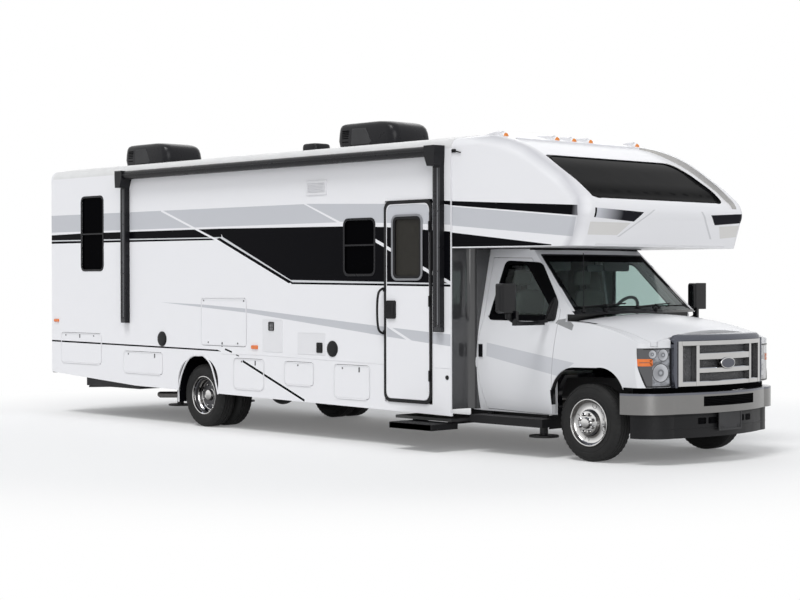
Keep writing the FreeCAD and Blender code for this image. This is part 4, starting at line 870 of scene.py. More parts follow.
def make_wheels():
    front, rear, inner = Shape(), Shape(), Shape()
    make_tyre(front, AXLE, -0.8805)
    front.pair("tyre_front", "rubber", "wheel_front_SIDE", ["tyre_front_SIDE"], angle=40)
    make_tyre(rear, REAR_AXLE, -1.1095)
    make_tyre(rear, REAR_AXLE, -0.8505)
    rear.pair("tyres_rear", "rubber", "wheels_rear_SIDE", ["tyres_rear_SIDE"], angle=40)
    wheel("front_wheel", AXLE, -0.985, FRONT_LINER, (0.086, 0.018), (0.168, -0.040), "wheel_front_SIDE",
          "rim_front_SIDE")
    wheel("rear_wheel", REAR_AXLE, -1.204, REAR_LINER, (0.128, -0.123), (0.188, -0.072), "wheels_rear_SIDE",
          "rims_rear_SIDE")
    inner.turned([(0.224, 0.0), (0.205, 0.01), (0.200, 0.09), (0.110, 0.13), (0.0005, 0.13), (0.0005, 0.14),
                  (0.115, 0.14), (0.202, 0.10), (0.206, 0.17), (0.222, 0.175), (0.224, 0.17)],
                 (REAR_AXLE, -0.938, WHEEL_Z), looped=True)
    inner.pair("inner_rear_rim", "steel_wheel", "wheels_rear_SIDE")


# Front end

GRILLE_TOP = 1.213
GRILLE_FOOT, GRILLE_HEAD = 0.722, 1.150
NOSE_WIDTH, GRILLE_BOW = 0.68, 0.095
BADGE = (0.112, 0.930, 0.056)


def nose_x(y):
    """X of the nose's face across the vehicle, as the grille bows."""
    return ahead(0.847 - GRILLE_BOW * min(abs(y) / NOSE_WIDTH, 1.0) ** 2)


def bowed_bar(shape, y0, y1, z0, z1, out, back=0.03, steps=14, edge=0.006):
    """A bar across the nose that follows its bow, with a rounded face."""
    rings = []
    for y in run(y0, y1, steps):
        inner, face = nose_x(y) - back, nose_x(y) + out
        rings.append([(inner, y, z0), (face - edge, y, z0), (face, y, z0 + edge), (face, y, z1 - edge),
                      (face - edge, y, z1), (inner, y, z1)])
    shape.loft(rings)


def make_grille_bars():
    bright = Shape()
    bowed_bar(bright, -0.600, 0.600, 1.098, GRILLE_HEAD, 0.030)
    for half, z0, z1 in ((0.400, 0.965, 1.032), (0.400, 0.842, 0.894), (0.600, GRILLE_FOOT, 0.771)):
        bowed_bar(bright, -half, half, z0, z1, 0.026)
    for y0, y1 in ((0.392, 0.430), (0.592, 0.640), (-0.430, -0.392), (-0.640, -0.592)):
        bowed_bar(bright, y0, y1, GRILLE_FOOT, GRILLE_HEAD, 0.028, steps=3)
    bright.make("grille_bars", "chrome", angle=40)


def make_grille_cap():
    """The slate brow over the grille and the cheeks at its ends."""
    slate = Shape()
    rings = []
    for y in run(-0.688, 0.688, 28):
        end = max(abs(y) - 0.60, 0) / 0.088
        top, low = GRILLE_TOP - 0.005 - 0.055 * end ** 2, 1.148 - 0.03 * end ** 2
        x = nose_x(y) + 0.032 - 0.012 * end ** 2
        rings.append([(x - 0.07, y, low), (x - 0.002, y, low), (x, y, low + 0.012),
                      (x - 0.012, y, top - 0.018), (x - 0.030, y, top - 0.002), (x - 0.07, y, top)])
    slate.loft(rings)
    x = nose_x(0.66) + 0.028
    for side in (-1, 1):
        rings = []
        for z in run(0.716, 1.156, 12):
            outer, inner = 0.688 - 0.25 * max(0.80 - z, 0), 0.640
            y0, y1 = sorted((side * inner, side * outer))
            rings.append([(x - 0.06, y0, z), (x - 0.008, y0, z), (x, y0 + 0.012, z), (x, y1 - 0.012, z),
                          (x - 0.008, y1, z), (x - 0.06, y1, z)])
        slate.loft(rings)
    slate.make("grille_cap", "slate", angle=40, swaps=["grille"])


def make_grille():
    make_grille_bars()
    make_grille_cap()
    mesh, badge, blank = Shape(), Shape(), Shape()
    bowed_bar(mesh, -0.64, 0.64, 0.730, 1.140, -0.036, 0.05)
    mesh.make("grille_mesh", "mesh")
    half_width, middle, half_height = BADGE
    turns = [a / 20 * math.pi for a in range(40)]
    badge.slab([(half_width * math.cos(a), middle + half_height * math.sin(a)) for a in turns], "front",
               ahead(0.850), ahead(0.884))
    badge.make("badge_rim", "chrome", bevel=0.004)
    blank.slab([(half_width * 0.86 * math.cos(a), middle + half_height * 0.80 * math.sin(a)) for a in turns],
               "front", ahead(0.860), ahead(0.8875))
    blank.make("badge_blank", "slate", bevel=0.002)


HEADLAMPS_FROM, CLEARANCE_LAMPS_FROM = 4.3, 3.05
LAMP_EDGE = [(-0.692, 0.727), (-0.692, 1.083), (-1.02, 1.083), (-1.035, 1.05), (-1.02, 0.93), (-0.95, 0.727)]
TURN_LAMP = [(-1.018, 0.922), (-0.885, 0.922), (-0.885, 0.988), (-1.026, 0.988)]


def lamp_kind(part):
    """Which lens a lamp body has, from where it sits."""
    back, low = min(p[0] for p in part.points), min(p[2] for p in part.points)
    if back < 0:
        return "red_lens"
    if low > CLEARANCE_LAMPS_FROM:
        return "clearance"
    return "head" if back > HEADLAMPS_FROM else "amber_lens"


def make_lamps():
    """Lamp bodies from the CAD's own outlines, each in its lens colour."""
    groups = {}
    for part in loose_parts("lamps"):
        groups.setdefault(lamp_kind(part), Shape()).joined(part)
    groups["head"].make("headlamps", "headlamp", swaps=["lamps"], angle=30)
    for kind in ("amber_lens", "red_lens", "clearance"):
        if kind in groups:
            groups[kind].make("lamps_" + kind, kind, swaps=["lamps"], angle=50)
    face = Skin("lamps")
    edge, amber = Shape(), Shape()
    outline = divided(softened(LAMP_EDGE, 0.02))
    face.band(edge, outline, shrunk(outline, 0.010), 0.0, 0.003)
    edge.both().make("headlamp_edges", "black")
    cell = divided(softened(TURN_LAMP, 0.008), 0.02)
    face.band(amber, cell, shrunk(cell, 0.030), 0.0, 0.004)
    amber.both().make("headlamp_turn_lamps", "amber_lens")


def make_bumper():
    """Louvred slot of the bumper, openings and ribs of the valance, and the bracket of the plate."""
    slot, holes, ribs, plate = Shape(), Shape(), Shape(), Shape()
    for i in range(6):
        z = 0.548 + 0.015 * i
        slot.bar((-0.385, 0.385, z - 0.0045, z + 0.0045), 0.004, "front", ahead(0.862), ahead(0.884), 2)
    slot.bar((-0.392, 0.392, 0.536, 0.632), 0.02, "front", ahead(0.840), ahead(0.862))
    slot.make("bumper_slot", "deep_black")
    lip = Skin("valance")
    for y0, y1 in ((-0.41, -0.31), (-0.28, -0.165), (0.165, 0.28), (0.31, 0.41)):
        outline = divided(rounded(y0, y1, 0.372, 0.432, 0.012), 0.03)
        lip.band(holes, outline, shrunk(outline, 0.0295), 0.0004, 0.0016)
    holes.make("valance_openings", "deep_black")
    for z in (0.335, 0.455):
        lip.cord(ribs, [(y, z) for y in run(-0.84, 0.84, 30)], 0.006, -0.003)
    ribs.make("valance_ribs", "black")
    back = ahead(0.9005)
    plate.bar((-0.165, 0.165, 0.315, 0.505), 0.012, "front", back, ahead(0.9065))
    plate.frame(rounded(-0.178, 0.178, 0.302, 0.522, 0.016), rounded(-0.160, 0.160, 0.320, 0.504, 0.010),
                "front", back, ahead(0.9125))
    for y, z in ((-0.12, 0.50), (0.0, 0.50), (0.12, 0.50), (-0.13, 0.335), (0.13, 0.335)):
        plate.rim((y - 0.022, y + 0.022, z - 0.012, z + 0.012), 0.006, (0.010, 0.005), "front", ahead(0.904),
                  ahead(0.9105))
    plate.make("front_plate_bracket", "grip", bevel=0.0015)


# Cab glass and mirrors

SHIELD_FOOT, SHIELD_HEAD = (0.905, 1.385), (0.80, 1.965)
DOOR_WINDOW = shifted([(-1.318, 1.316), (-0.452, 1.312), (-0.424, 1.506), (-0.706, 1.884), (-1.196, 1.908)])
DOOR_OPENING = shifted([(-1.275, 1.372), (-0.500, 1.372), (-0.505, 1.435), (-0.905, 1.866), (-1.178, 1.871)])
DOOR_CORNER = shifted([(-1.345, 1.360), (-1.300, 1.360), (-1.178, 1.925), (-1.345, 1.925)])
MIRROR_SAIL = shifted([(-0.560, 1.318), (-0.430, 1.318), (-0.424, 1.505), (-0.470, 1.560), (-0.530, 1.480)])
WIPERS = (((-0.52, 1.415), (-0.80, 1.445), (-0.18, 1.475)), ((0.22, 1.415), (-0.06, 1.440), (0.56, 1.470)))


def on_door(outline, lift):
    """An outline on the sloping outer face of the right cab door."""
    return [(u, -0.961 + 0.2267 * (v - 1.33) - lift, v) for u, v in outline]


def make_windshield_trim():
    shield = Skin("windshield")
    frit, seal, wipers = Shape(), Shape(), Shape()
    (foot, low), (head, high) = SHIELD_FOOT, SHIELD_HEAD
    outer = divided(softened([(-foot, low), (foot, low), (head, high), (-head, high)], 0.07), 0.03)
    shield.band(frit, shrunk(outer, 0.004), shrunk(outer, 0.072), -0.001, 0.002)
    frit.make("windshield_frit", "deep_black")
    shield.cord(seal, [(y, 1.958) for y in run(-0.775, 0.775, 30)], 0.010, 0.002)
    for side in (-1, 1):
        path = [(side * (foot + (head - foot) * t), low + (high - low) * t) for t in run(0, 1, 20)]
        shield.cord(seal, path, 0.009, 0.001)
    seal.make("windshield_seal", "black")
    for base, low_end, high_end in WIPERS:
        shield.cord(wipers, [low_end, high_end], 0.007, 0.010)
        middle = tuple((a + b) / 2 for a, b in zip(low_end, high_end))
        start, end = shield.front([base], 0.012)[0], shield.front([middle], 0.022)[0]
        wipers.tube([start, (start[0] + 0.02, start[1] + 0.03, start[2] + 0.012), end], 0.008)
        wipers.turned([(0.016, -0.01), (0.016, 0.012), (0.008, 0.020), (0.0005, 0.021)],
                      (start[0], start[1], start[2] - 0.004), axis="z", steps=16)
    wipers.make("wipers", "black")


def make_door_glass_trim():
    seal, corner = Shape(), Shape()
    outer, inner = softened(DOOR_WINDOW, 0.06), softened(DOOR_OPENING, 0.05)
    seal.loft([on_door(outer, -0.010), on_door(outer, 0.004), on_door(inner, 0.004), on_door(inner, -0.040)],
              looped=True)
    seal.pair("door_window_seal", "deep_black", "cab_door_SIDE")
    corner.loft([on_door(DOOR_CORNER, -0.020), on_door(DOOR_CORNER, 0.001)])
    corner.pair("door_window_corner", "cab", "cab_door_SIDE")


def make_antenna():
    rod = Shape()
    base = Skin("fenders", "hood", "cab_shell").laid((ahead(-0.215), -0.80, 5), DOWN)
    rod.tube([base, (base[0] - 0.004, base[1], base[2] + 0.56)], 0.0035)
    rod.turned([(0.020, -0.004), (0.018, 0.012), (0.009, 0.026), (0.007, 0.050), (0.0005, 0.052)], base,
               axis="z", steps=16)
    rod.make("antenna", "black")


def make_mirrors():
    """Mirror glasses, arms' joints and the black corner at the window."""
    panes, arm, sail = Shape(), Shape(), Shape()
    x = ahead(-0.630)
    panes.bar((-1.580, -1.395, 1.505, 1.665), 0.02, "front", x - 0.002, x + 0.004)
    panes.bar((-1.580, -1.395, 1.415, 1.492), 0.02, "front", x - 0.003, x + 0.004)
    panes.pair("mirror_glass", "mirror", "cab_door_SIDE", bevel=0.001)
    arm.tube(smooth_path([(ahead(x), y, z) for x, y, z in (
        (-0.585, -1.47, 1.40), (-0.585, -1.44, 1.345), (-0.580, -1.36, 1.312), (-0.56, -1.15, 1.300),
        (-0.50, -1.00, 1.320))]), 0.016)
    arm.turned([(0.028, -0.03), (0.032, -0.02), (0.032, 0.02), (0.028, 0.03)],
               (ahead(-0.585), -1.455, 1.375), axis="z", steps=24)
    arm.pair("mirror_arm", "black", "cab_door_SIDE")
    outline = softened(MIRROR_SAIL, 0.03)
    sail.loft([on_door(shrunk(outline, inset), lift)
               for inset, lift in ((0, -0.004), (0, 0.012), (0.012, 0.020), (0.030, 0.024))])
    sail.pair("mirror_sail", "black", "cab_door_SIDE", angle=50)


# Coach sides

BEDROOM_WINDOW = at(-8.166, -7.660, 1.834, 2.775)
MIDDLE_WINDOW = at(-3.137, -2.640, 1.759, 2.361)
GALLEY_WINDOW = (-2.645, -1.845, 1.900, 2.450)
SLIDE_WINDOW = (-0.395, 1.155, 1.750, 2.450)
TWO_LATCHES = ((0.24, 0.90, 0), (0.71, 0.91, 1))
BAGGAGE = {
    "r1": (-8.640, -7.710, 0.666, 1.046, ((0.12, 0.92, 0), (0.47, 0.94, 1), (0.81, 0.92, 0))),
    "r2": (-7.230, -6.406, 0.586, 0.845, ((0.13, 0.88, 0), (0.80, 0.90, 1))),
    "r3": (-5.640, -4.790, 0.963, 1.508, ((0.16, 0.06, 0), (0.47, 0.05, 1), (0.81, 0.06, 0), (0.06, 0.95, 0),
                                          (0.94, 0.95, 0))),
    "r4": (-5.030, -4.480, 0.485, 0.826, ((0.27, 0.90, 0), (0.72, 0.91, 1))),
    "r5": (-4.125, -3.626, 0.570, 0.820, ((0.47, 0.86, 0),)),
    "r6": (-3.292, -2.727, 0.465, 0.816, TWO_LATCHES),
    "l1": (-8.640, -7.710, 0.666, 1.046, ((0.15, 0.92, 0), (0.50, 0.94, 1), (0.85, 0.92, 0))),
    "l2": (-3.292, -2.727, 0.465, 0.816, TWO_LATCHES),
}
BINS = ["baggage_door_" + name for name in BAGGAGE]


def window_trim(shape, rect, divider, face, out):
    """Frame and divider of a window; out is the way that faces outward."""
    y0, y1 = sorted((face - out * 0.002, face + out * 0.005))
    shape.rim(grown(rect, 0.004), 0.024, (0.072, 0.055), "side", y0, y1)
    if divider:
        bar = (rect[0] + 0.018, rect[1] - 0.018, divider - 0.009, divider + 0.009)
        shape.bar(bar, 0.004, "side", y0, y1)


def make_windows():
    trim, slide = Shape(), Shape()
    for rect, divider, side in ((BEDROOM_WINDOW, 2.300, -1), (MIDDLE_WINDOW, 2.080, -1),
                                (GALLEY_WINDOW, 2.10, 1), (BEDROOM_WINDOW, 2.300, 1)):
        window_trim(trim, rect, divider, side * SIDE, side)
    trim.make("window_frames", "dark", bevel=0.002)
    window_trim(slide, SLIDE_WINDOW, None, 1.2835, 1)
    for x in (0.12, 0.64):
        slide.bar((x - 0.012, x + 0.012, 1.768, 2.432), 0.006, "side", 1.282, 1.2885)
    slide.make("slide_window_frame", "dark", "slide_room", bevel=0.002)


def make_baggage_trim():
    """Edge trims and latches of the baggage doors, each on its own door."""
    inner = RIGHT_WALL + 0.0005
    for name, (x0, x1, z0, z1, latches) in BAGGAGE.items():
        rect = at(x0, x1, z0, z1)
        edge, latch = Shape(), Shape()
        edge.rim(grown(rect, -0.001), 0.012, (0.044, 0.034), "side", -1.2790, inner)
        for share, height, upright in latches:
            x, z = rect[0] + (x1 - x0) * share, z0 + (z1 - z0) * height
            latch.turned([(0.0005, -1.2800), (0.008, -1.2798), (0.010, -1.2775), (0.0105, inner)], (x, 0, z),
                         steps=16)
            if upright:
                latch.bar((x - 0.009, x + 0.009, z - 0.040, z + 0.014), 0.008, "side", -1.2785, inner)
        body = "baggage_door_" + name
        if name[0] == "l":
            edge, latch = edge.flipped(), latch.flipped()
        edge.make(body + "_edge", "white_trim", body, bevel=0.0012)
        latch.make(body + "_latches", "latch", body)


def make_wall_panels():
    white = Shape()
    for rect in (at(-4.500, -4.152, 0.917, 1.280), at(-3.890, -3.433, 0.908, 1.146)):
        white.bar(rect, 0.012, "side", RIGHT_WALL, RIGHT_WALL - 0.0024)
        white.rim(rect, 0.010, (0.012, 0.006), "side", RIGHT_WALL, RIGHT_WALL - 0.004)
    white.rim(at(-3.743, -3.404, 2.630, 2.787), 0.028, (0.012, 0.008), "side", RIGHT_WALL,
              RIGHT_WALL - 0.010)
    for i in range(6):
        z = 2.662 + 0.016 * i
        white.bar(at(-3.716, -3.431, z, z + 0.008), 0.003, "side", RIGHT_WALL, RIGHT_WALL - 0.008, 2)
    white.make("wall_panels", "white_trim", bevel=0.0015)


def make_wall_ports():
    black = Shape()
    face = RIGHT_WALL - 0.002
    for x, z, radius in ((-6.415, 1.014, 0.090), (-3.316, 0.980, 0.087)):
        black.turned([(0.0005, -0.0165), (radius * 0.55, -0.0165), (radius * 0.80, -0.015),
                      (radius * 0.93, -0.011), (radius, -0.004), (radius, 0.001)], (ahead(x), RIGHT_WALL, z),
                     steps=40)
    black.rim(at(-4.389, -4.298, 1.154, 1.251), 0.009, (0.008, 0.004), "side", face, RIGHT_WALL - 0.011)
    for i in range(5):
        z = 1.168 + 0.0155 * i
        black.bar(at(-4.386, -4.301, z, z + 0.009), 0.002, "side", face, RIGHT_WALL - 0.008, 2)
    black.bar(at(-3.572, -3.475, 0.931, 1.042), 0.012, "side", face, RIGHT_WALL - 0.009)
    black.rim(at(-3.555, -3.492, 0.955, 1.020), 0.012, (0.012, 0.008), "side", RIGHT_WALL - 0.008,
              RIGHT_WALL - 0.013)
    black.turned([(0.0005, -0.009), (0.016, -0.009), (0.022, -0.006), (0.024, 0.001)],
                 (ahead(-1.584), RIGHT_WALL, 0.742), steps=24)
    black.make("wall_ports", "black", bevel=0.001)


def make_side_trim():
    """Side markers, the seam over the skirts and the lips of the rear arches."""
    amber, seam, arch = Shape(), Shape(), Shape()
    for rect in (at(-4.698, -4.585, 0.938, 0.985), at(-8.794, -8.687, 1.178, 1.220)):
        amber.lens(rect, 0.008, "side", RIGHT_WALL, RIGHT_WALL - 0.016, -0.005)
    amber.both().make("side_markers", "amber_lens", bevel=0.002)
    for path in (((-5.25, 0.868), (-4.57, 0.877), (-2.52, 0.844), (-2.51, 0.844)),
                 ((-1.75, 0.838), (-1.535, 0.834))):
        seam.tube([(ahead(x), RIGHT_WALL - 0.0005, z) for x, z in path], 0.0035, steps=6)
    seam.make("skirt_seam", "white_trim")
    arch.tube(smooth_path([(ahead(x), RIGHT_WALL + 0.0005, z) for x, z in (
        (-6.097, 0.412), (-6.03, 0.60), (-5.93, 0.75), (-5.818, 0.826), (-5.70, 0.836), (-5.595, 0.833),
        (-5.47, 0.75), (-5.39, 0.60), (-5.322, 0.401))]), 0.010)
    arch.both().make("rear_arch_lip", "white_trim")


DOOR_PANE = at(-2.350, -1.937, 1.730, 2.360)
DOOR_REAR, DOOR_FRONT = ahead(-2.456), ahead(-1.821)
DOOR_FACE = -1.2885
GRAB = ((-2.500, -1.272, 1.175), (-2.500, -1.300, 1.165), (-2.512, -1.350, 1.215), (-2.518, -1.362, 1.40),
        (-2.512, -1.350, 1.575), (-2.500, -1.300, 1.625), (-2.500, -1.272, 1.615))


def make_entry_door():
    ring, inner, latch, edge, handle, hinge = (Shape() for _ in range(6))
    ring.rim(grown(DOOR_PANE, 0.022), 0.022, (0.075, 0.055), "side", -1.2905, -1.303)
    ring.make("entry_window_ring", "frame_grey", "entry_door", bevel=0.003)
    inner.rim(grown(DOOR_PANE, -0.001), 0.025, (0.055, 0.035), "side", -1.278, -1.2965)
    inner.make("entry_window_inner_ring", "black", "entry_door", bevel=0.002)
    x0, x1 = ahead(-2.442), ahead(-2.310)
    latch.bar((x0, x1, 1.317, 1.504), 0.018, "side", DOOR_FACE, -1.3105)
    latch.rim((x0 + 0.020, x1 - 0.018, 1.345, 1.480), 0.016, (0.020, 0.014), "side", -1.309, -1.3145)
    latch.bar((x0 + 0.040, x0 + 0.066, 1.350, 1.475), 0.010, "side", -1.310, -1.3138)
    latch.turned([(0.0005, -1.3135), (0.010, -1.3135), (0.012, -1.312), (0.012, -1.309)],
                 (x1 - 0.022, 0, 1.335), steps=16)
    latch.make("entry_latch", "black", "entry_door", bevel=0.0015)
    edge.rim((DOOR_REAR + 0.002, DOOR_FRONT - 0.002, 0.502, 2.488), 0.008, (0.075, 0.068), "side", DOOR_FACE,
             DOOR_FACE - 0.005)
    edge.make("entry_door_edge", "white_trim", "entry_door", bevel=0.001)
    handle.tube(smooth_path([(ahead(x), y, z) for x, y, z in GRAB]), 0.0125, steps=10)
    for z in (1.175, 1.615):
        handle.turned([(0.0005, -0.010), (0.018, -0.010), (0.024, -0.005), (0.026, 0.001)],
                      (ahead(-2.500), RIGHT_WALL, z), steps=24)
    handle.make("grab_handle", "black")
    for z in (0.75, 1.50, 2.25):
        hinge.turned([(0.0005, z - 0.055), (0.009, z - 0.053), (0.009, z + 0.053), (0.0005, z + 0.055)],
                     (DOOR_FRONT + 0.004, -1.2995, 0), axis="z", steps=14)
    hinge.make("entry_hinge_pins", "black")


def make_steps():
    tread, board, shade_slab = Shape(), Shape(), Shape()
    low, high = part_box("entry_step")
    for x in run(low[0] + 0.03, high[0] - 0.03, 10):
        tread.bar((x - 0.010, x + 0.010, -1.490, -1.300), 0.006, "plan", 0.281, 0.286, 2)
    tread.bar((low[0] + 0.01, high[0] - 0.01, 0.224, 0.280), 0.010, "side", -1.5, -1.494)
    tread.make("step_grip", "grip", "entry_step", bevel=0.001)
    low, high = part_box("running_boards")
    for i in range(4):
        y = -1.115 + 0.045 * i
        board.tube([(low[0] + 0.03, y, 0.3765), (high[0] - 0.06, y, 0.3765)], 0.006, steps=6)
    board.tube([(low[0] + 0.01, -1.122, 0.362), (high[0] - 0.03, -1.122, 0.362)], 0.0075)
    board.both().make("running_board_ribs", "grip")
    # A black slab under each cab door, behind the running boards, standing in for the shade there.
    shade_slab.bar(at(-1.62, -0.62, 0.345, 0.47), 0.010, "side", -0.90, -0.86)
    shade_slab.both().make("shade_under_cab", "black")


# Roof, cap over the cab and awning

ROOF_BASE = 3.218
AIR_UNITS = ((-4.588, -3.653, 0.306, 3.506, 1.05), (-0.313, 0.622, 0.306, 3.506, 1.05))
ROOF_VENT = (-1.155, -0.895, 0.130, 3.336, 1.0)
UNIT_LEVELS = ((0.0, 0.97, 0.96, 0.0), (0.30, 1.0, 1.0, 0.0), (0.55, 0.985, 0.985, -0.006),
               (0.72, 0.960, 0.970, -0.014), (0.84, 0.920, 0.945, -0.030), (0.92, 0.86, 0.90, -0.050),
               (0.965, 0.78, 0.84, -0.072), (0.99, 0.66, 0.74, -0.096), (1.0, 0.50, 0.60, -0.110))
VENT_LEVELS = ((0.0, 1.0, 1.0, 0.0), (0.60, 1.0, 1.0, 0.0), (0.85, 0.97, 0.97, 0.0), (0.96, 0.90, 0.90, 0.0),
               (1.0, 0.78, 0.78, 0.0))
UNIT_PANEL = ((-0.46, 0.03), (0.16, 0.03), (0.24, 0.06), (0.04, 0.215), (-0.42, 0.215))


def make_roof_units():
    """Rounded shrouds of the cooling units with side louvres, and the low vent between them."""
    shroud, slots, panels = Shape(), Shape(), Shape()
    for unit in (*AIR_UNITS, ROOF_VENT):
        x0, x1, half_y, top, share = unit
        x, half_x, height = (x0 + x1) / 2, (x1 - x0) / 2 * share, top - ROOF_BASE
        cooler = unit != ROOF_VENT
        rings = []
        for up, wide, deep, lean in UNIT_LEVELS if cooler else VENT_LEVELS:
            a, b = half_x * wide, half_y * deep
            ring = rounded(-a, a, -b, b, min(0.11, half_x * 0.4), 5)
            rings.append([(x + u + lean, v, ROOF_BASE + height * up) for u, v in ring])
        shroud.loft(rings)
        if not cooler:
            continue
        louvres = [ROOF_BASE + 0.065 + 0.021 * i for i in range(7)]
        for side in (-1, 1):
            inner, outer = sorted((side * (half_y - 0.03), side * half_y))
            panels.slab([(x + half_x * u, ROOF_BASE + v) for u, v in UNIT_PANEL], "side", inner, outer)
            for z in louvres:
                slots.bar((x - half_x * 0.76, x - half_x * 0.54, z, z + 0.011), 0.005, "side",
                          side * (half_y - 0.025), side * (half_y - 0.001), 2)
        for z in louvres:
            slots.bar((-0.17, 0.17, z, z + 0.011), 0.005, "front", x - half_x - 0.0005, x - half_x + 0.03, 2)
    shroud.make("roof_unit_shrouds", "dark", angle=60, swaps=["roof_units"])
    slots.make("roof_unit_louvres", "deep_black")
    panels.make("roof_unit_panels", "grip", bevel=0.006)


PANE_HALF = [(0.90, 2.912), (1.035, 2.80), (1.055, 2.600), (1.03, 2.500), (0.90, 2.482)]
LAMP_BASE = ((0.0, 0.004, 0.004), (0.25, 0.022, 0.014), (0.6, 0.040, 0.030), (0.85, 0.046, 0.040),
             (1.0, 0.044, 0.042))
CORNER_X, CORNER_Y = ahead(-1.531), 1.2725


def make_overcab_details():
    cap, pane = Skin("overcab"), Skin("coach_windows")
    bases, seam, hook, lip, ring, gap = (Shape() for _ in range(6))
    for y in (-1.016, -0.26, 0.0, 0.26, 1.016):
        rings = []
        for share, wide, tall in LAMP_BASE:
            x = ahead(-1.30 + 0.235 * share)
            top = cap.laid((x, y, 3.6), DOWN)[2]
            foot, shoulder = top - 0.004, top + tall * 0.7
            rings.append([(x, y - wide, foot), (x, y - wide * 0.8, shoulder), (x, y, top + tall),
                          (x, y + wide * 0.8, shoulder), (x, y + wide, foot)])
        bases.loft(rings)
    bases.make("clearance_lamp_bases", "white_trim", angle=50)
    for y in (-CORNER_Y, CORNER_Y):
        seam.tube([(CORNER_X, y, z) for z in (0.40, 1.2, 2.2, 3.0)], 0.007)
    seam.make("front_corner_trim", "white_trim")
    hook.bar(at(-1.525, -1.470, 2.975, 3.010), 0.012, "side", -1.262, -1.2735)
    hook.tube([(ahead(-1.50), -1.262, 2.992), (ahead(-1.46), -1.2715, 2.985),
               (ahead(-1.40), -1.2715, 2.970)], 0.006)
    hook.make("awning_catch", "black")
    lip.tube(cap.front([(y, 2.045) for y in run(-1.0, 1.0, 40)], -0.004), 0.010)
    lip.make("overcab_lower_lip", "white_trim")
    outline = PANE_HALF + [(-y, z) for y, z in reversed(PANE_HALF)]
    points = pane.front(divided(softened(outline, 0.05, 3), 0.05))
    ring.tube(points + points[:2], 0.009, steps=6)
    ring.make("overcab_window_seal", "deep_black")
    gap.slab(shifted([(-1.50, -1.00), (-0.78, -0.78), (-0.78, 0.78), (-1.50, 1.00)]), "plan", 2.0205, 2.0295)
    gap.make("overcab_seal", "black")


ROLL_Z = 2.996


def make_awning_details():
    """Rolled canvas, grooved arms and end covers of the awning."""
    low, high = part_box("awning")
    roll, arms, light = Shape(), Shape(), Shape()
    for y, z in ((-1.3715, 2.957), (-1.4235, ROLL_Z), (-1.3715, 3.035)):
        roll.tube([(low[0] + 0.12, y, z), (high[0] - 0.12, y, z)], 0.0035, steps=6)
    for x in (low[0] + 0.118, high[0] - 0.118):
        roll.turned([(0.0005, x - 0.006), (0.048, x - 0.006), (0.052, x - 0.003), (0.052, x + 0.003),
                     (0.048, x + 0.006), (0.0005, x + 0.006)], (0, -1.3705, ROLL_Z), axis="x", steps=32)
    roll.make("awning_roll_ribs", "dark")
    for x0, x1 in ((low[0] + 0.012, low[0] + 0.083), (high[0] - 0.083, high[0] - 0.012)):
        middle = (x0 + x1) / 2
        for x in (x0, middle, x1):
            arms.tube([(x, -1.3425, 1.22), (x, -1.3425, 2.83)], 0.0055, steps=6)
        for z in (1.26, 1.80, 2.40):
            arms.turned([(0.0005, -0.0045), (0.007, -0.0045), (0.009, 0.002)], (middle + 0.018, -1.343, z),
                        steps=10)
        arms.bar((x0 - 0.006, x1 + 0.006, 1.197, 1.245), 0.010, "side", -1.300, -1.3445)
        light.bar((middle + 0.010, middle + 0.018, 1.25, 2.83), 0.003, "side", -1.335, -1.3442, 2)
    arms.make("awning_arm_channels", "dark_rail", bevel=0.001)
    light.make("awning_arm_lines", "frame_grey")


# Rear, left side and underside

BACK = -4.825
LADDER_RAIL = ((0.002, 1.36), (0.06, 1.38), (0.07, 1.50), (0.07, 2.90), (0.06, 3.04), (0.002, 3.06))


def make_rear_details():
    trim, black, plate, red, ladder = (Shape() for _ in range(5))
    trim.rim((-1.18, 1.18, 0.66, 3.12), 0.03, (0.14, 0.11), "front", BACK - 0.006, BACK)
    trim.rim((-0.72, 0.72, 0.78, 1.30), 0.015, (0.05, 0.04), "front", BACK - 0.006, BACK)
    trim.make("rear_wall_trim", "white_trim", bevel=0.002)
    black.rim((-0.70, 0.70, 1.60, 2.40), 0.025, (0.07, 0.05), "front", BACK - 0.009, BACK)
    black.bar((-0.68, 0.68, 1.62, 2.38), 0.055, "front", BACK - 0.005, BACK)
    black.bar((-0.17, 0.17, 0.86, 1.03), 0.012, "front", BACK - 0.010, BACK)
    black.lens((-0.05, 0.05, 2.955, 3.035), 0.02, "front", BACK - 0.045, BACK, 0.01)
    black.make("rear_window_and_plate", "dark_glass", bevel=0.002)
    plate.bar((-0.155, 0.155, 0.872, 1.018), 0.010, "front", BACK - 0.013, BACK - 0.009)
    plate.make("rear_blank_plate", "white_trim", bevel=0.001)
    for y in (-1.02, 1.02):
        red.lens((y - 0.07, y + 0.07, 0.78, 1.28), 0.05, "front", BACK - 0.020, BACK, 0.01)
    for y in (-0.26, 0.0, 0.26):
        red.lens((y - 0.05, y + 0.05, 3.145, 3.175), 0.012, "front", BACK - 0.014, BACK, 0.005)
    red.make("rear_lamps", "red_lens", bevel=0.004)
    for y in (0.72, 1.06):
        ladder.tube(smooth_path([(BACK - out, y, z) for out, z in LADDER_RAIL]), 0.013)
    for i in range(6):
        z = 1.55 + 0.27 * i
        ladder.tube([(BACK - 0.07, 0.72, z), (BACK - 0.07, 1.06, z)], 0.012)
    ladder.make("rear_ladder", "bright_tube")


